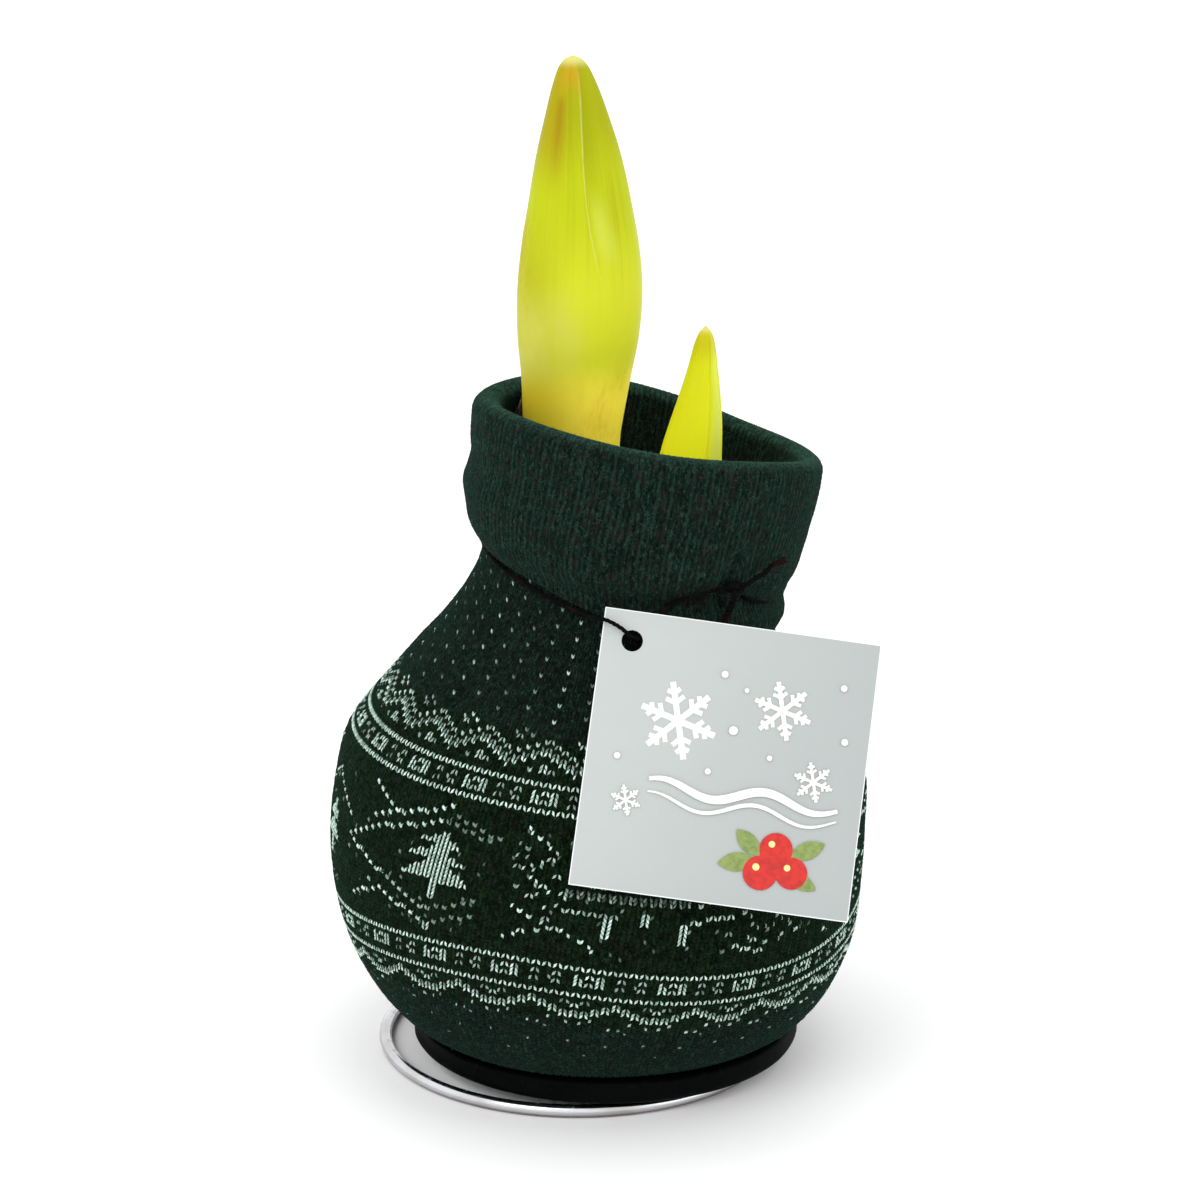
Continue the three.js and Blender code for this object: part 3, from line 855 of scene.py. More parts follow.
def makeSweater():
    body = bodyPath()
    pitch, start = sweater["coursePitch"], sweater["courseStart"]
    courses = int((body["along"][-1] - start) / pitch) - 1
    pale = paintPattern(sweater["wales"], courses + 4)
    tones = (srgb(5, 9, 7), srgb(17, 29, 24), srgb(35, 56, 47), srgb(26, 22, 19))
    cloth = knitLook("greenKnit", tones, True)
    third = math.ceil(courses / 3)
    sheets = []
    for k, name in enumerate(("sweater_lower", "sweater_middle", "sweater_upper")):
        span = (k * third, min((k + 1) * third, courses))
        sheet = knitSheet(name, body, span, pale, start, pitch, sweater["knit"], False)
        middle = np.interp((span[0] + span[1]) / 2 * pitch, body["along"], body["r"])
        size = (2 * math.pi * middle * mm, (span[1] - span[0]) * pitch * mm)
        finishPiece(sheet, "green_knit", cloth, *(["sweater"] if k == 1 else []))
        sheets.append(sheet)

    turned = []
    path = collarPath()
    plain = np.zeros((2 * sweater["wales"], 4))
    tones = (srgb(6, 12, 9), srgb(17, 30, 25), srgb(36, 61, 52), srgb(34, 26, 24))
    softCloth = knitLook("collarKnit", tones, False)
    pitch, inside = collar["coursePitch"], collar["insideCourses"]
    courses = int(path["along"][-1] / pitch) - 1
    spans = ((0, inside), (inside, courses))
    for name, span, middle in zip(("collar_inside", "collar_outside"), spans, collar["middles"]):
        sheet = knitSheet(name, path, span, plain, collar["courseStart"], pitch, collar["knit"], True)
        size = (2 * math.pi * middle * mm, (span[1] - span[0]) * pitch * mm)
        finishPiece(sheet, "green_knit", softCloth)
        turned.append(sheet)
    return {"collar": turned, "body": sheets}


fuzz = {
    "collar": 7500,
    "body": 4500,
    "length": (0.4, 1.0),
    "width": 0.05,
    "taper": 0.8,
    "lift": 0.75,
    "arch": 2.2,
    "bend": 0.25,
}


def makeFuzz(sheets):
    # Loose fibres that stand off the yarn, each a strip of two faces.
    for name in ("collar", "body"):
        points, faces = [], []
        area = np.array([len(obj.data.polygons) for obj in sheets[name]], float)
        for obj, share in zip(sheets[name], area / area.sum()):
            mesh = obj.data
            centres = np.empty(len(mesh.polygons) * 3)
            normals = np.empty(len(mesh.polygons) * 3)
            mesh.polygons.foreach_get("center", centres)
            mesh.polygons.foreach_get("normal", normals)
            chosen = rng.choice(len(mesh.polygons), int(fuzz[name] * share), replace=False)
            centres = centres.reshape(-1, 3)[chosen] / mm
            normals = normals.reshape(-1, 3)[chosen]
            way = rng.normal(0, 1, centres.shape)
            way -= normals * (way * normals).sum(1)[:, None]
            way /= np.linalg.norm(way, axis=1)[:, None]
            side = np.cross(way, normals) * fuzz["width"] / 2
            length = rng.uniform(*fuzz["length"], len(chosen))[:, None]
            lift = rng.uniform(0.15, 1, len(chosen))[:, None] * fuzz["lift"] * length
            bent = rng.normal(0, fuzz["bend"], (len(chosen), 1)) * length
            for t in (0, 0.5, 1):
                spine = centres + way * length * t + normals * lift * math.sin(t * fuzz["arch"])
                spine = spine + np.cross(way, normals) * bent * t * t
                half = side * (1 - t * fuzz["taper"])
                points.append(np.stack([spine - half, spine + half], 1))
            base = sum(len(block) * 2 for block in points[:-3])
            n = len(chosen)
            first = base + 2 * np.arange(n)
            for k in range(2):
                low, high = first + 2 * n * k, first + 2 * n * (k + 1)
                faces.append(np.stack([low, low + 1, high + 1, high], -1))
        verts = np.concatenate([block.reshape(-1, 3) for block in points]) * mm
        obj = meshObject(name + "Fuzz", verts, np.concatenate(faces))
        smoothShade(obj)
        finishPiece(obj, "green_knit", fuzzLook(name + "Fibre"))


def fuzzLook(name):
    look = Finish(name, Roughness=0.9, Specular_IOR_Level=0.1)
    tone = look.noise(look.coords(), 400.0, 2.0)
    return look.paint(Base_Color=look.mix(look.ramp(tone, 0.35, 0.65), srgb(16, 34, 28), srgb(54, 84, 72)))


bud = {
    "outline": [
        (8, 92), (8.1, 104), (8.5, 113), (9.1, 120), (9.8, 126), (10.6, 131.5), (10.95, 137.5), (10.8, 143),
        (10.1, 149), (9.2, 154), (8.1, 160), (7, 165), (5.6, 170), (4.1, 175), (2.5, 179), (1.4, 180.3),
    ],
    "tip": 180.8,
    "depth": 0.8,
    "bow": {"x": -3.8, "y": 1.5, "middle": 150.0, "reach": 35.0, "sweep": -1.6},
    "seam": {"start": 7.0, "curl": 0.044, "middle": 163.0, "bottom": 140.0, "height": 0.3},
}

shoot = {
    "outline": [
        (6.2, 92), (5.95, 104), (5.5, 111), (4.95, 115.2), (4.25, 119), (3.45, 123), (2.6, 127), (2.1, 130),
        (1.4, 132.8),
    ],
    "tip": 134.5,
    "depth": 0.62,
    "bow": {"x": 18.1, "y": -0.5, "middle": 140.0, "reach": 29.0, "sweep": -2.7},
}


flesh = {
    "Subsurface_Weight": 0.1,
    "Subsurface_Scale": 0.004,
    "Subsurface_Radius": (1.0, 0.9, 0.15),
    "Sheen_Roughness": 0.25,
}


def bowed(bow, h):
    step = np.maximum(-1, (h - bow["middle"]) / bow["reach"])
    return bow["x"] + bow["sweep"] * step * step


def ringForm(name, form, segments, rings):
    # A stalk drawn up ring by ring from a filled circle, and closed at its tip.
    outline = evenly(throughPoints(form["outline"], 300), 88.0 / rings)
    bow = form["bow"]
    deselect()
    radius, low = outline[0]
    bpy.ops.mesh.primitive_circle_add(vertices=segments, radius=1, fill_type="NGON", location=(0, 0, 0))
    obj = bpy.context.object
    obj.name = obj.data.name = name

    def middle(height):
        return Vector((bowed(bow, height), bow["y"], height))

    with editing(obj):
        centre = middle(low)
        bpy.ops.transform.resize(value=(radius, radius * form["depth"], 1), center_override=(0, 0, 0))
        bpy.ops.transform.translate(value=centre)
        for nextRadius, height in outline[1:]:
            there = middle(height)
            bpy.ops.mesh.extrude_region_move(TRANSFORM_OT_translate={"value": there - centre})
            grow = nextRadius / radius
            bpy.ops.transform.resize(value=(grow, grow, 1), center_override=there)
            radius, centre = nextRadius, there
        bpy.ops.mesh.extrude_region_move(TRANSFORM_OT_translate={"value": middle(form["tip"]) - centre})
        bpy.ops.mesh.merge(type="CENTER")
    fixNormals(obj)
    rounder = obj.modifiers.new("round", "SUBSURF")
    rounder.levels = rounder.render_levels = 1
    applyAll(obj)
    return obj


def stalkUv(obj, form):
    # Bearing from the front and height of every corner, for streaks that run up the stalk.
    points = getPoints(obj)
    bearing = np.arctan2(points[:, 0] - bowed(form["bow"], points[:, 2]), form["bow"]["y"] - points[:, 1])
    cornerMap(obj, "stalk", np.stack([bearing / math.pi, points[:, 2] / 100], -1))


def aroundStalk(obj, form):
    # Height, radius and bearing of a stalk's points, and what moves them out from its bowed middle.
    points = getPoints(obj)
    z = points[:, 2]
    middle = bowed(form["bow"], z)
    offX, offY = points[:, 0] - middle, points[:, 1] - form["bow"]["y"]
    radius = np.maximum(np.hypot(offX, offY), 0.2)

    def lifted(lift):
        points[:, 0] = middle + offX * (1 + lift / radius)
        points[:, 1] = form["bow"]["y"] + offY * (1 + lift / radius)
        return points

    return z, radius, np.degrees(np.arctan2(offX, -offY)), lifted


def makeTallBud():
    obj = ringForm("tallBud", bud, 64, 66)
    seam = bud["seam"]
    z, radius, bearing, lifted = aroundStalk(obj, bud)
    shown = swell(seam["bottom"], seam["bottom"] + 12, z) * (1 - swell(178.5, 180.2, z))
    off = bearing - seam["start"] - seam["curl"] * (seam["middle"] - z) ** 2
    overlap = np.where(off < 0, np.exp(off / 42), -0.3 * np.exp(-off / 7)) * shown
    back = (bearing + 360 - 165) % 360 - 180  # the same overlap behind
    behind = np.where(back < 0, np.exp(back / 42), -0.25 * np.exp(-back / 7)) * shown
    ribs = 0.004 * np.sin(np.radians(bearing) * 22 + 1.3 * np.sin(z * 0.05))
    keel = 0.2 * hump(bearing, -62, 12) * swell(126, 150, z) * (1 - swell(170, 179, z))
    lift = (seam["height"] * (overlap + behind) + keel) * np.minimum(1, radius / 3)
    points = lifted(lift + ribs * np.minimum(1, radius / 5))
    setPoints(obj, points)
    stalkUv(obj, bud)
    setPoints(obj, place(points))
    smoothShade(obj)
    finishPiece(obj, "bud_green", budLook(), "tall_bud")


def budLook():
    look = Finish("budSkin", **flesh, Specular_IOR_Level=0.08, Sheen_Weight=0.04,
                  Sheen_Tint=(1, 1, 0.5, 1))
    stalk = look.uv("stalk")
    side, up, _ = look.split(stalk)
    streakA = look.noise(look.stretched(stalk, (26, 1.6, 1)), 1.0, 4.0, 0.55)
    streakB = look.noise(look.stretched(stalk, (90, 4.0, 1), move=(3, 1, 0)), 1.0, 3.0, 0.6)
    patch = look.noise(look.stretched(stalk, (4, 7, 1), move=(7, 2, 0)), 1.0, 3.0, 0.55)
    speck = look.noise(look.stretched(stalk, (60, 60, 1), move=(1, 8, 0)), 1.0, 3.0, 0.65)
    base = look.mix(look.ramp(side, -0.35, 0.25), srgb(194, 178, 38), srgb(253, 232, 74))
    base = look.coats(base, (look.ramp(patch + speck * 0.3, 0.55, 0.85) * 0.5, 216, 176, 34))
    body = look.mix(look.ramp(side, -0.32, 0.0), srgb(168, 168, 26), srgb(193, 198, 36))
    base = look.mix(look.ramp(up + patch * 0.04, 1.22, 1.33), base, body)
    base = look.coats(
        base,
        (look.ramp(up, 1.38, 1.58), 170, 180, 14),
        (look.ramp(up, 1.58, 1.72), 151, 155, 4),
    )
    left = look.ramp(side, 0.0, -0.3)
    base = look.coats(
        base,
        (left * look.ramp(up, 1.55, 1.7) * 0.6, 156, 134, 8),
        (look.ramp(streakA, 0.45, 0.75) * look.ramp(up, 1.35, 1.55, (0.04, 0.4)), 150, 158, 8),
        (look.ramp(streakB, 0.5, 0.78) * 0.22, 198, 200, 60),
    )
    # A painted highlight: a soft pale patch low on the left side.
    paleHighlight = look.ramp(up, 1.22, 1.30) * (1 - look.ramp(up, 1.34, 1.44)) * look.ramp(side, 0.12, -0.14)
    base = look.coats(base, (paleHighlight * look.ramp(patch, 0.3, 0.6, (0.3, 0.75)), 190, 189, 80))
    flecks = look.ramp(side, -0.22, -0.45) * look.ramp(up, 1.3, 1.4) * (1 - look.ramp(up, 1.5, 1.6))
    base = look.coats(base, (flecks * look.ramp(patch * 0.6 + speck * 0.5, 0.5, 0.65) * 0.45, 160, 140, 14))
    # A sunburnt streak beside the seam near the tip.
    drift = (streakA - 0.5) * 0.04
    burn = look.ramp(abs(side + drift + 0.2), 0.1, 0.005) * look.ramp(up, 1.56, 1.71)
    burn = burn * (1 - look.ramp(up, 1.725, 1.75))
    base = look.coats(base, (burn * look.ramp(streakB, 0.3, 0.6, (0.2, 0.75)), 146, 110, 6))
    # The seam where one leaf of the sheath laps over the other.
    seamSide = (up - 1.63) * (up - 1.63) * 2.44 + 0.0389
    offSeam = side - seamSide
    shown = look.ramp(up, 1.40, 1.50) * (1 - look.ramp(up, 1.775, 1.80))
    # Painted shadow of the overlapping leaf, to the right of the seam.
    shade = look.ramp(offSeam, 0.0, 0.02) * (1 - look.ramp(offSeam, 0.05, 0.2)) * look.ramp(up, 1.52, 1.66)
    base = look.coats(base, (shade * 0.45, 134, 142, 2))
    # A painted highlight to the right of the seam, low down.
    seamHighlight = look.ramp(offSeam, 0.01, 0.06) * (1 - look.ramp(offSeam, 0.08, 0.22)) * look.ramp(up, 1.44, 1.5)
    seamHighlight = seamHighlight * (1 - look.ramp(up, 1.52, 1.6))
    base = look.coats(base, (seamHighlight * 0.5, 190, 198, 78))
    # The seam line: the lapped edge's paler tone, with a painted highlight on it.
    halfWidth = look.ramp(up, 1.6, 1.8) * 0.022 + 0.008
    line = (1 - abs(offSeam) / halfWidth).clamped() * shown
    base = look.coats(base, (line * 0.5, 206, 210, 120))
    tan = look.ramp(abs(offSeam + 0.16), 0.32, 0.06) * look.ramp(up + patch * 0.03, 1.745, 1.79)
    base = look.coats(
        base,
        (tan * 0.6, 186, 140, 24),
        (look.ramp(up, 1.785, 1.806), 200, 198, 120),
    )
    ochre = look.ramp(abs(side - 0.3), 0.14, 0.02) * look.ramp(abs(up - 1.56), 0.09, 0.01)
    base = look.coats(base, (ochre * look.ramp(streakA, 0.35, 0.6, (0.05, 0.3)), 158, 146, 10))
    rimLight = look.ramp(side, 0.38, 0.5) * look.ramp(up, 1.2, 1.4) * (1 - look.ramp(up, 1.5, 1.6))
    base = look.coats(base, (rimLight * 0.4, 196, 202, 120))
    normal = look.bump(streakA * 0.4 + streakB * 0.6, 0.14, 0.0003)
    return look.paint(Base_Color=base, Roughness=0.4 + streakB * 0.2, Normal=normal)


def makeShortShoot():
    obj = ringForm("shortShoot", shoot, 48, 34)
    z, radius, bearing, lifted = aroundStalk(obj, shoot)
    fold = bearing - 42 + (z - 100) * 0.15
    lift = np.where(fold < 0, 0.32 * np.exp(fold / 30), -0.12 * np.exp(-fold / 8))
    lift = lift * np.minimum(1, radius / 2) + 0.03 * np.sin(np.radians(bearing) * 18)
    stalkUv(obj, shoot)
    setPoints(obj, place(lifted(lift)))
    smoothShade(obj)
    finishPiece(obj, "shoot_green", shootLook(), "short_shoot")


def shootLook():
    look = Finish("shootSkin", **flesh, Specular_IOR_Level=0.12, Sheen_Weight=0.08,
                  Sheen_Tint=(1, 1, 0.7, 1))
    stalk = look.uv("stalk")
    side, up, _ = look.split(stalk)
    streak = look.noise(look.stretched(stalk, (30, 2.4, 1)), 1.0, 4.0, 0.6)
    fine = look.noise(look.stretched(stalk, (110, 8.0, 1), move=(2, 5, 0)), 1.0, 3.0, 0.6)
    base = look.mix(look.ramp(up, 1.0, 1.32), srgb(255, 255, 36), srgb(200, 202, 10))
    base = look.coats(
        base,
        (look.ramp(streak, 0.45, 0.75) * 0.25, 222, 234, 14),
        (look.ramp(side, 0.18, 0.34) * 0.5, 206, 222, 66),
    )
    edge = look.ramp(abs(side - 0.36), 0.06, 0.01)
    base = look.coats(
        base,
        (edge * 0.45, 206, 214, 120),
        (look.ramp(up, 1.27, 1.32) * 0.5, 170, 150, 16),
        (look.ramp(up, 1.325, 1.345), 206, 204, 130),
    )
    normal = look.bump(streak * 0.5 + fine * 0.5, 0.14, 0.00025)
    return look.paint(Base_Color=base, Roughness=0.38 + fine * 0.2, Normal=normal)


bulb = {
    "footRadius": 34.8,
    "footBottom": 2.6,
    "footTop": 6.9,
    "footRounding": 1.3,
    "footFuller": 0.04,
    "dents": ((0.14, 5, 1), (0.1, 11, 2.4), (0.06, 23, 0)),
    "footCorner": 0.8,
    "neckRadius": 21.5,
    "neckHeight": 97.0,
    "gap": 0.3,
}


def spun(name, outline, steps):
    # Turns an outline of radius and height once round the upright axis.
    edges = [(i, i + 1) for i in range(len(outline) - 1)]
    obj = simpleObject(name, [(r, 0, h) for r, h in outline], edges, [])
    with editing(obj):
        bpy.ops.mesh.spin(steps=steps, angle=2 * math.pi, center=(0, 0, 0), axis=(0, 0, 1))
    fixNormals(obj, 1e-4)
    return obj


def makeBulb():
    low, top, edge, rounding = (bulb[k] for k in ("footBottom", "footTop", "footRadius", "footRounding"))
    corner = bulb["footCorner"]
    foot = np.concatenate([
        [(0, low), (12, low), (24, low)],
        arcPoints((edge - rounding, low + rounding), rounding, -90, 0, 7),
        arcPoints((edge - corner, top - corner), corner, 0, 90, 5),
        [(30, top), (0, top)],
    ])
    footObj = spun("waxFoot", foot, 128)
    points = getPoints(footObj)
    angle = np.arctan2(points[:, 1], points[:, 0])
    radius = np.hypot(points[:, 0], points[:, 1])
    dents = ripples(angle, *bulb["dents"])
    rim = swell(28, 34, radius)
    outer = rim * (1 + dents / 35 * swell(low, low + 2, points[:, 2]))
    fuller = 1 + bulb["footFuller"] * np.maximum(0, np.cos(angle + 0.6)) ** 2 * rim
    points[:, :2] *= (np.where(radius > 28, 1 + (outer - rim), 1) * fuller)[:, None]
    setPoints(footObj, place(points))

    skin = sideways(throughPoints(sweater["outline"], 90), -sweater["thickness"] - bulb["gap"])
    skin = skin[(skin[:, 1] > 9) & (skin[:, 1] < bulb["neckHeight"] - 5)]
    neck, rim = bulb["neckHeight"], bulb["neckRadius"]
    body = np.concatenate([
        [(29.5, low + 1.5), (31.2, top + 0.6)], skin,
        [(rim + 1.4, neck - 3), (rim + 0.5, neck - 1.5), (rim, neck - 0.8), (rim - 0.7, neck - 0.2),
         (rim - 1.5, neck), (rim - 4.4, neck - 0.2), (rim - 5, neck - 1.4), (rim - 9, neck - 1.2),
         (rim - 9.6, neck - 2.4), (0, neck - 2)],
    ])
    bodyObj = spun("bulbBody", body, 96)
    points = getPoints(bodyObj)
    nearAxis = 1e-6  # keeps the pole off the axis, where its bearing has no meaning
    points[:, 0] += np.where(np.hypot(points[:, 0], points[:, 1]) < nearAxis, nearAxis, 0)
    share = np.minimum(1, np.hypot(*points.T[:2]) / 20)
    x, y = pushSides(*points.T, sweater, share)
    setPoints(bodyObj, place(leanOver(x, y, points[:, 2])))
    activate(footObj)
    bodyObj.select_set(True)
    bpy.ops.object.join()
    footObj.name = "waxBulb"
    smoothShade(footObj, 40)
    finishPiece(footObj, "dark_wax", waxLook(), "bulb")


def waxLook():
    look = Finish("darkWax", Specular_IOR_Level=0.02)
    point = look.coords()
    cloud = look.noise(point, 90.0, 4.0, 0.6)
    speck = look.noise(point, 700.0, 2.0, 0.6)
    colour = look.mix(look.ramp(cloud, 0.35, 0.7), srgb(2, 4, 3), srgb(5, 8, 6))
    colour = look.coats(colour, (look.ramp(speck, 0.62, 0.72) * 0.5, 18, 15, 13))
    _, _, z = look.split(point)
    papery = look.ramp(z, 0.088, 0.094)
    fibres = look.noise(look.stretched(point, (1, 1, 0.1)), 420.0, 3.0)
    skinTone = look.mix(fibres, srgb(34, 24, 16), srgb(92, 64, 38))
    colour = look.mix(papery, colour, skinTone)
    normal = look.bump(cloud * 0.7 + speck * 0.3, 0.4, 0.0005)
    return look.paint(Base_Color=colour, Roughness=0.36 + cloud * 0.3, Normal=normal)


scales = {
    "tall": {"from": 112.0, "to": 172.0, "base": 94.0, "top": 121.5, "lowRadius": 19.2, "radius": 24.6,
             "slant": 7.0, "sheet": 0.3},
    "ringRadii": (20.6, 17.4, 14.4),
    "ringArc": (34.0, 322.0),
    "ringSheet": 0.35,
}


def scaleSheet(name, start, end, base, topOf, radiusOf, columns, rows, thickness):
    # A curved dry leaf base, rows of points between its foot and its torn top edge.
    across = np.linspace(0, 1, columns)[None, :]
    up = np.linspace(0, 1, rows)[:, None]
    top = topOf(across)
    h = base + (top - base) * up
    angle = np.radians(start + (end - start) * across + 0 * up)
    r = radiusOf(h, up, across)
    points = leanOver(r * np.cos(angle), r * np.sin(angle), h).reshape(-1, 3)
    obj = meshObject(name, place(points), gridFaces(rows, columns))
    shell = obj.modifiers.new("sheet", "SOLIDIFY")
    shell.thickness = thickness * mm
    shell.offset = 0
    applyAll(obj)
    smoothShade(obj, 50)
    return obj


def makeScales():
    tall = scales["tall"]
    ragged = rng.uniform(-1, 1, 90)

    def tallTop(across):
        teeth = 0.9 * np.sin(across * 17) + 0.45 * np.interp(across * 89, np.arange(90), ragged)
        return tall["top"] - 0.6 - tall["slant"] * np.abs(across - 0.35) + teeth

    def tallRadius(h, up, across):
        wider = (tall["radius"] - tall["lowRadius"]) * np.minimum(1, (h - tall["base"]) / 9)
        curl = -0.8 * np.maximum(up - 0.75, 0) * 4 * np.sin(across * 9)
        return tall["lowRadius"] + wider + 0.25 * np.sin(across * 21 + up * 3) * up + curl

    pieces = [scaleSheet("dryScale", tall["from"], tall["to"], tall["base"], tallTop, tallRadius, 90, 26,
                         tall["sheet"])]
    neck = bulb["neckHeight"]
    for k, ring in enumerate(scales["ringRadii"]):

        def ringTop(across, k=k):
            return neck + 1.6 + 0.6 * k + 0.7 * np.sin(across * 11 + 1.7 * k) + 0.3 * np.sin(across * 47)

        def ringRadius(h, up, across, k=k, ring=ring):
            return ring + 0.3 * up + 0.25 * np.sin(across * 19 + 1.7 * k)

        pieces.append(scaleSheet(f"neckScale{k + 1}", *scales["ringArc"], neck - 2.5, ringTop, ringRadius,
                                 120, 5, scales["ringSheet"]))
    material = scaleLook()
    for obj in pieces:
        finishPiece(obj, "dark_wax", material)


def scaleLook():
    look = Finish("dryScaleSkin", Roughness=0.6, Specular_IOR_Level=0.3)
    point = look.coords()
    vein = look.noise(look.stretched(point, (1, 1, 0.06)), 900.0, 3.0, 0.6)
    blot = look.noise(point, 220.0, 3.0)
    colour = look.mix(look.ramp(vein, 0.35, 0.7), srgb(24, 15, 11), srgb(70, 44, 27))
    colour = look.coats(colour, (look.ramp(blot, 0.6, 0.72) * 0.6, 150, 112, 84))
    return look.paint(Base_Color=colour, Normal=look.bump(vein, 0.6, 0.0004))


string = {
    "plyRadius": 0.21,
    "plyOffset": 0.2,
    "plies": 3,
    "twist": 2.6,
    "step": 0.65,
    "sides": 7,
    "knotAt": (-57, 31, 96.2),
    "knotSize": 1.0,
    "lumpRadius": 0.46,
    "lumpSides": 8,
    "unravelled": (1.45, 2.2),
}


def onNeck(degrees, radius, height):
    angle = math.radians(degrees)
    return leanOver(*np.array((radius * math.cos(angle), radius * math.sin(angle), height)))


tagMatrix = Matrix.LocRotScale(Vector(tagSet["centre"]), Euler(tagSet["turn"], "YXZ").to_quaternion(), None)


def onTag(fromLeft, fromTop, inFront):
    half = tagSet["side"] / 2
    return np.array(tagMatrix @ Vector((fromLeft - half, -inFront, half - fromTop)))


def tubeMesh(points, radius, sides):
    # A round tube along a fine run of points, with frames carried along it.
    points = np.asarray(points, float)
    tangent = unit(np.gradient(points, axis=0))
    radius = np.broadcast_to(radius, len(points))
    up = np.array((0, 0, 1.0)) if abs(tangent[0][2]) < 0.9 else np.array((1.0, 0, 0))
    side = np.cross(tangent[0], up)
    rings = []
    angles = 2 * np.pi * np.arange(sides) / sides
    for point, direction, r in zip(points, tangent, radius):
        side = side - direction * side.dot(direction)
        side /= np.linalg.norm(side)
        other = np.cross(direction, side)
        rings.append(point + r * (np.cos(angles)[:, None] * side + np.sin(angles)[:, None] * other))
    count = len(points)
    # Domed ends, each a fan round a point a little further out.
    ends = [points[0] - tangent[0] * radius[0] * 0.4, points[-1] + tangent[-1] * radius[-1] * 0.4]
    first, last = count * sides, (count - 1) * sides
    faces = [tuple(face) for face in gridFaces(count, sides, True)[:, [0, 3, 2, 1]]]
    faces += [(j, (j + 1) % sides, first) for j in range(sides)]
    faces += [(last + (j + 1) % sides, last + j, first + 1) for j in range(sides)]
    return np.concatenate([*rings, ends]), faces


def joinedMesh(name, parts):
    verts, faces, base = [], [], 0
    for points, polygons in parts:
        verts.append(points)
        faces += [tuple(i + base for i in polygon) for polygon in polygons]
        base += len(points)
    return simpleObject(name, place(np.concatenate(verts)).tolist(), [], faces)


def twisted(route, parts, swollen=1.0):
    # Lays the plies of a string round a route; a swollen one is unravelled towards its end.
    points = evenly(throughPoints(route, 60 * len(route)), string["step"])
    lengths = alongLengths(points)
    tangent = unit(np.gradient(points, axis=0))
    side = unit(np.cross(tangent, (0.13, 0.21, 0.97)))
    other = np.cross(tangent, side)
    for k in range(string["plies"]):
        angle = 2 * np.pi * (lengths / string["twist"] + k / string["plies"])
        offset = string["plyOffset"] * swollen
        if swollen > 1:
            offset = offset * (1 + 0.8 * swell(0.72, 1, lengths / lengths[-1]))
        offset = np.broadcast_to(offset, len(points))[:, None]
        ply = points + offset * (np.cos(angle)[:, None] * side + np.sin(angle)[:, None] * other)
        parts.append(tubeMesh(ply, string["plyRadius"] * swollen ** 0.5, string["sides"]))


def makeString():
    # Bearing, radius and height round the neck, and places on the tag: from its left, its top and out.
    toTag = ((-63, 29.1, 95.4), (-70, 28.1, 94.4), (-78, 28.8, 92.4))
    throughTag = ((7.4, 3.6, -1.6), (5, 4.4, 0), (3.3, 3.5, 1.1), (0.6, 2.4, 1.15), (-1.6, 2.2, 0.4))
    roundNeck = (
        (-107, 28.2, 89), (-120, 27.2, 89.9), (-142, 26.9, 91.5), (-160, 26.9, 92.7), (180, 26.9, 93),
        (165, 27, 92.6), (152, 27.4, 92.1), (141, 28.5, 91.9), (130, 28.6, 91.8), (110, 28.3, 91.7),
        (90, 28.1, 91.2), (60, 28, 90.3), (30, 27.9, 89.6), (14, 27.3, 89.3), (0, 26.9, 89.3),
        (-20, 26.8, 90.2), (-40, 26.9, 92.0), (-48, 26.6, 94.2), (-53, 28.2, 95.6),
    )
    longTail = ((-54, 32, 97.2), (-51, 31.8, 98), (-47.5, 32.2, 99.2), (-44, 32, 100.4),
                (-41.5, 32.3, 100.7), (-39, 32.2, 101))
    shortTail = ((-58, 32, 94.6), (-59, 31.6, 92.4), (-59.5, 31.3, 90), (-59, 31.6, 86))

    def neckPoints(spots):
        return [onNeck(*spot) for spot in spots]

    knot = onNeck(*string["knotAt"])
    parts = []
    twisted([knot, *neckPoints(toTag), *(onTag(*spot) for spot in throughTag), *neckPoints(roundNeck), knot],
            parts)
    for tail, swollen in zip((longTail, shortTail), string["unravelled"]):
        twisted([knot, *neckPoints(tail)], parts, swollen)
    turn = np.linspace(0, 2 * np.pi, 60)
    size = string["knotSize"]
    outward = knot - onNeck(string["knotAt"][0], 0, string["knotAt"][2])
    outward /= np.linalg.norm(outward)
    level = np.cross(outward, (0, 0, 1.0))
    upright = np.cross(level, outward)
    # A trefoil for the overhand knot.
    a = (np.sin(turn) + 2 * np.sin(2 * turn)) * size * 0.42
    b = (np.cos(turn) - 2 * np.cos(2 * turn)) * size * 0.42
    c = -np.sin(3 * turn) * size * 0.55
    lump = knot + a[:, None] * level + b[:, None] * upright + (c[:, None] + 0.2) * outward
    parts.append(tubeMesh(lump, string["lumpRadius"], string["lumpSides"]))
    obj = joinedMesh("tieString", parts)
    smoothShade(obj)
    finishPiece(obj, "dark_string", stringLook(), "string")


def stringLook():
    look = Finish("darkThread", Roughness=0.9, Specular_IOR_Level=0.05)
    point = look.coords()
    fibre = look.noise(point, 2600.0, 3.0, 0.6)
    rust = look.noise(point, 160.0, 2.0, 0.5)
    colour = look.mix(look.ramp(fibre, 0.4, 0.75), srgb(5, 5, 5), srgb(16, 13, 12))
    colour = look.coats(colour, (look.ramp(rust, 0.56, 0.68) * 0.6, 34, 17, 14))
    return look.paint(Base_Color=colour, Normal=look.bump(fibre, 0.5, 0.0001))


def tagPlace(obj):
    points = getPoints(obj)
    world = np.array(tagMatrix.to_3x3()) @ points.T
    setPoints(obj, place(world.T + np.array(tagSet["centre"])))


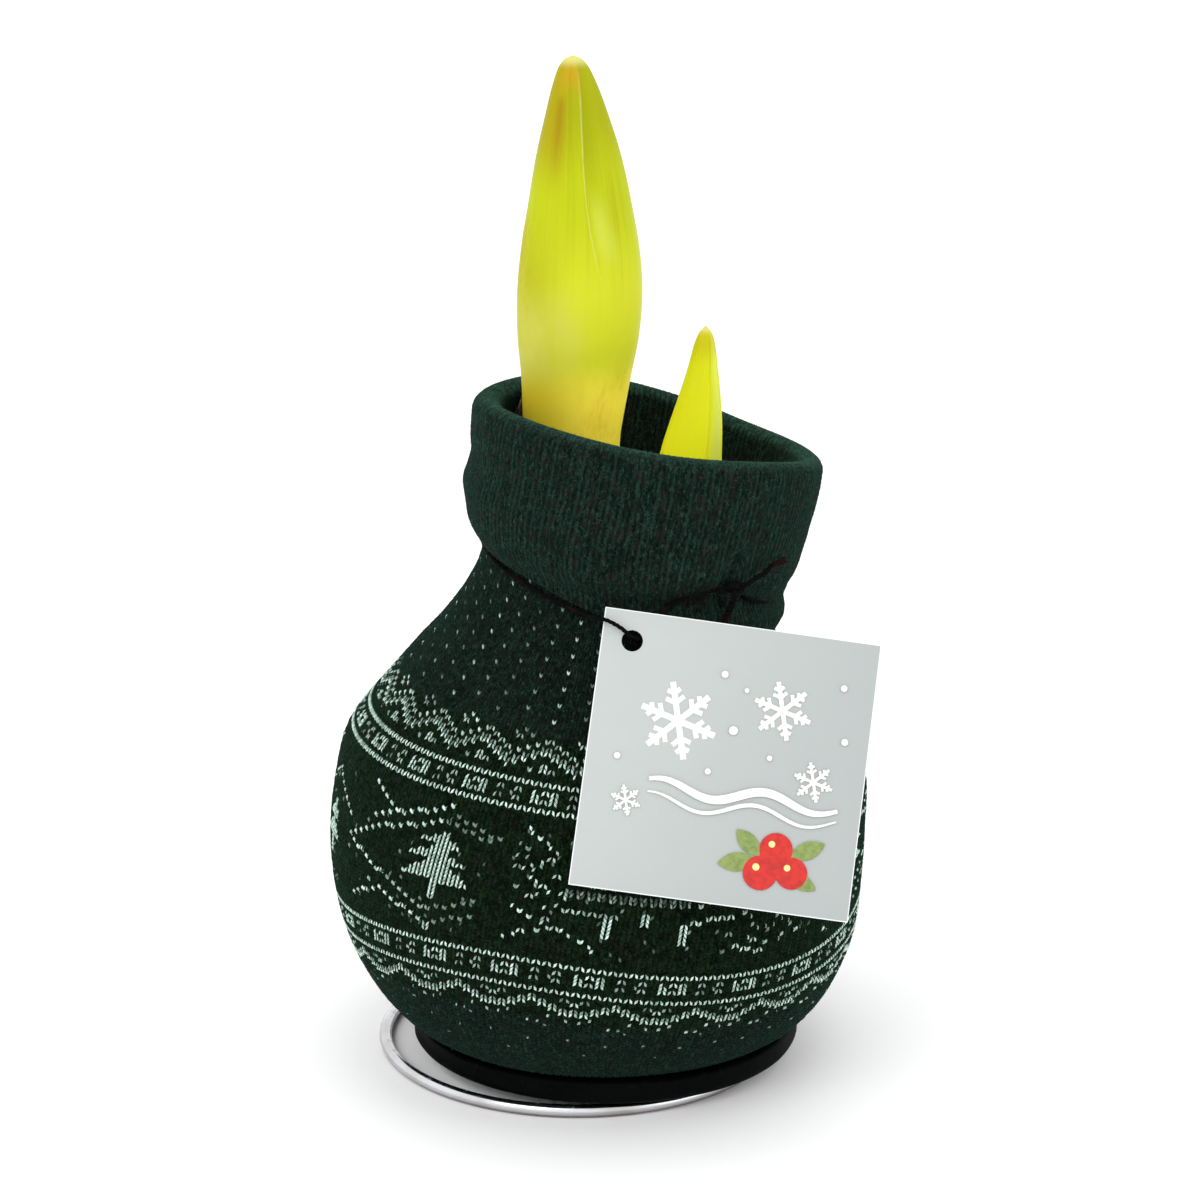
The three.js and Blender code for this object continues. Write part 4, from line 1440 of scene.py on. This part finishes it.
def makeTag():
    side, thick = tagSet["side"], tagSet["thickness"]
    deselect()
    bpy.ops.mesh.primitive_plane_add(size=side, location=(0, 0, 0), rotation=(math.pi / 2, 0, 0))
    card = bpy.context.object
    card.name = "card"
    bpy.ops.object.transform_apply(location=True, rotation=True, scale=True)
    with editing(card):
        bpy.ops.mesh.subdivide(number_cuts=7)
    sheet = card.modifiers.new("sheet", "SOLIDIFY")
    sheet.thickness = thick
    sheet.offset = 0
    applyAll(card)
    x, fromTop = tagSet["hole"]
    centre = (x - side / 2, 0, side / 2 - fromTop)
    bpy.ops.mesh.primitive_cylinder_add(vertices=64, radius=tagSet["holeRadius"], depth=3, location=centre,
                                        rotation=(math.pi / 2, 0, 0))
    punch = bpy.context.object
    cut = card.modifiers.new("hole", "BOOLEAN")
    cut.operation = "DIFFERENCE"
    cut.object = punch
    cut.solver = "EXACT"
    applyAll(card)
    bpy.data.objects.remove(punch)
    edge = card.modifiers.new("edge", "BEVEL")
    edge.width = tagSet["edgeBevel"]
    edge.segments = 2
    edge.limit_method = "ANGLE"
    edge.angle_limit = math.radians(50)
    applyAll(card)
    # The card's own plane as its map, with the depth left out.
    cornerMap(card, "card", getPoints(card)[:, [0, 2]] / side + 0.5)
    tagPlace(card)
    smoothShade(card, 30)
    finishPiece(card, "tag_card", cardLook(), "tag")


def cardLook():
    look = Finish("cardStock", Roughness=0.55, Specular_IOR_Level=0.2)
    flat = look.uv("card")
    u, v, _ = look.split(flat)
    grain = look.noise(flat, 260.0, 3.0, 0.6)
    cloud = look.noise(flat, 7.0, 3.0, 0.5)
    # Painted light: the card is lighter towards its top left and darker towards its right and bottom.
    colour = look.mix(look.ramp(u - v * 0.35, -0.25, 0.75), srgb(176, 181, 179), srgb(161, 166, 165))
    colour = look.coats(
        colour,
        (cloud * 0.5, 165, 170, 168),
        (look.ramp(grain, 0.45, 0.75) * 0.3, 176, 180, 180),
    )
    # A painted highlight along the card's edges.
    toEdge = abs(u - 0.5).math("MAXIMUM", abs(v - 0.5))
    colour = look.coats(colour, (look.ramp(toEdge, 0.4955, 0.498), 226, 230, 232))
    return look.paint(Base_Color=colour, Normal=look.bump(grain, 0.15, 0.00008))


def inkLook(name, tone, other):
    look = Finish(name, Roughness=0.38, Specular_IOR_Level=0.5)
    grain = look.noise(look.coords(), 900.0, 3.0, 0.6)
    return look.paint(Base_Color=look.mix(look.ramp(grain, 0.35, 0.7), tone, other))


def inkShape(points, depth):
    # A flat shape in the card's plane: x from the left edge, y from the top edge.
    side = tagSet["side"]
    x = np.array([p[0] for p in points]) - side / 2
    z = side / 2 - np.array([p[1] for p in points])
    front = -tagSet["thickness"] / 2 - depth
    return [(a, front, b) for a, b in zip(x, z)]


def ribbon(points, width):
    points = np.asarray(points, float)
    tangent = unit(np.gradient(points, axis=0))
    side = np.stack([-tangent[:, 1], tangent[:, 0]], -1) * np.broadcast_to(width, len(points))[:, None] / 2
    return list(map(tuple, points + side)), list(map(tuple, points - side))


def inkMesh(name, shapes, material, depth=0.02):
    # Every shape lies a hair in front of the one before it.
    verts, faces = [], []
    for shape in shapes:
        depth += 0.002
        if isinstance(shape, tuple):
            left, right = (inkShape(edge, depth) for edge in shape)
            base, count = len(verts), len(left)
            verts += left + right
            faces += [tuple(face) for face in gridFaces(2, count) + base]
        else:
            base = len(verts)
            verts += inkShape(shape, depth)
            faces.append(tuple(range(base, len(verts))))
    obj = simpleObject(name, verts, [], faces)
    with editing(obj):
        bpy.ops.mesh.quads_convert_to_tris()
    frontWay = Vector((0, -1, 0))
    for polygon in obj.data.polygons:
        if polygon.normal.dot(frontWay) < 0:
            polygon.flip()
    tagPlace(obj)
    finishPiece(obj, "tag_card", material)


def disc(x, y, radius, count=28):
    angles = [2 * math.pi * k / count for k in range(count)]
    return [(x + radius * math.cos(a), y + radius * math.sin(a)) for a in angles]


def leafShape(x, y, length, width, turn):
    steps = [k / 24 for k in range(25)]
    points = [(t * length, width * math.sin(math.pi * t) ** 0.8) for t in steps]
    points += [(px, -py) for px, py in points[-2:0:-1]]
    cosT, sinT = math.cos(turn), math.sin(turn)
    return [(x + px * cosT - py * sinT, y + px * sinT + py * cosT) for px, py in points]


def bar(start, end, width):
    middle = ((start[0] + end[0]) / 2, (start[1] + end[1]) / 2)
    return ribbon([start, middle, end], width)


def snowCrystal(x, y, radius, width):
    shapes = []
    for k in range(6):
        a = math.radians(60 * k + 15)
        tip = (x + radius * math.cos(a), y + radius * math.sin(a))
        shapes.append(bar((x, y), tip, width))
        for share, size in ((0.45, 0.28), (0.7, 0.2)):
            root = (x + share * radius * math.cos(a), y + share * radius * math.sin(a))
            for side in (-1, 1):
                b = a + side * math.radians(58)
                end = (root[0] + size * radius * math.cos(b), root[1] + size * radius * math.sin(b))
                shapes.append(bar(root, end, width * 0.8))
    return shapes


def makePrint():
    white = []
    for x, y, radius, width in ((14.6, 17.4, 6.6, 1.05), (31.8, 13.4, 5.0, 0.8), (38.4, 24.6, 3.4, 0.55),
                                (7.6, 31.8, 2.6, 0.45)):
        white += snowCrystal(x, y, radius, width)
    for x, y, radius in ((21.4, 8.6, 0.6), (24.0, 17.8, 0.75), (41.6, 8.2, 0.55), (42.8, 17.2, 0.6),
                         (5.2, 24.6, 0.55), (30.6, 21.6, 0.45), (25.4, 10.8, 0.4), (20.6, 25.2, 0.5)):
        white.append(disc(x, y, radius))
    for level, width, phase in ((28.6, 1.5, 0.0), (31.0, 0.7, 0.5)):
        wave = [(x, level + 1.2 * math.sin(x * 0.36 + phase)) for x in np.linspace(11.0, 43.0, 80)]
        white.append(ribbon(wave, width * np.sin(np.linspace(0.25, math.pi - 0.25, 80)) ** 0.6))
    inkMesh("printWhite", white, inkLook("whiteInk", srgb(212, 213, 207), srgb(228, 229, 224)))

    leaves = [leafShape(x, y, length, width, math.radians(turn)) for x, y, length, width, turn in (
        (30.6, 38.8, 6.6, 1.6, 168), (31.0, 38.0, 5.8, 1.5, -138),
        (36.0, 37.6, 6.4, 1.5, -28), (36.0, 40.4, 5.4, 1.3, 22))]
    inkMesh("printLeaves", leaves, inkLook("leafInk", srgb(128, 146, 78), srgb(104, 124, 58)), 0.17)
    berries = [disc(31.4, 40.8, 2.9), disc(36.6, 40.2, 2.7), disc(33.6, 36.6, 2.8)]
    inkMesh("printBerries", berries, inkLook("berryInk", srgb(196, 28, 14), srgb(168, 16, 10)), 0.19)
    glints = [disc(30.6, 39.9, 0.6), disc(35.8, 39.4, 0.55), disc(32.8, 35.8, 0.55)]
    inkMesh("printGlints", glints, inkLook("glintInk", srgb(236, 222, 150), srgb(224, 196, 110)), 0.205)


wire = {
    "diameter": 2.3,
    "ringRadius": 35.85,
    "ringCentre": (-4.3, 1.8),
    "start": 60.0,
    "end": 320.0,
    "pitch": 12.5,
    "eye": 5.0,
    "spikeBend": 2.4,
    "spikeTop": 27.0,
    "sides": 14,
    "steps": 420,
}


def makeWire():
    height = wire["diameter"] / 2
    turnedIn = 360 * (wire["ringRadius"] - wire["eye"]) / wire["pitch"]
    degrees = np.linspace(wire["start"], wire["end"] + turnedIn, wire["steps"])
    inward = np.maximum(0, degrees - wire["end"])
    radius = wire["ringRadius"] - wire["pitch"] * inward / 360
    angle = np.radians(degrees)
    fade = 1 - inward / turnedIn
    flat = np.stack([
        wire["ringCentre"][0] * fade + radius * np.cos(angle),
        wire["ringCentre"][1] * fade + radius * np.sin(angle),
        np.full(len(degrees), height),
    ], -1)
    inner = flat[-1]
    onward = flat[-1] - flat[-2]
    onward = inner + onward / np.linalg.norm(onward) * wire["eye"] * 0.7
    corner = np.array((0, 0, height))
    base = np.array((0, 0, height + wire["spikeBend"]))
    t = np.linspace(0, 1, 24)[1:, None]
    bend = (1 - t) ** 3 * inner + 3 * (1 - t) ** 2 * t * onward + 3 * (1 - t) * t**2 * corner + t**3 * base
    spike = np.linspace(base, (0, 0, wire["spikeTop"]), 6)[1:]
    route = np.concatenate([flat, bend, spike])
    obj = joinedMesh("wireStand", [tubeMesh(route, wire["diameter"] / 2, wire["sides"])])
    smoothShade(obj, 50)
    finishPiece(obj, "bright_wire", wireLook(), "wire_stand")


def wireLook():
    look = Finish("brightWire", Metallic=1.0)
    point = look.coords()
    scuff = look.noise(point, 500.0, 3.0, 0.6)
    dull = look.noise(point, 60.0, 3.0, 0.6)
    colour = look.mix(look.ramp(dull, 0.4, 0.7), srgb(204, 206, 208), srgb(176, 175, 176))
    _, _, height = look.split(point)
    # Painted contact shadow: darker and browner along the underside, near the floor.
    colour = look.coats(colour, (look.ramp(height, 0.0011, 0.0003) * 0.85, 96, 74, 66))
    rough = 0.14 + look.ramp(scuff, 0.45, 0.75) * 0.18
    return look.paint(Base_Color=colour, Roughness=rough, Normal=look.bump(scuff, 0.12, 0.00005))


makeStudio()
makeFuzz(makeSweater())
makeBulb()
makeScales()
makeTallBud()
makeShortShoot()
makeWire()
makeTag()
makePrint()
makeString()
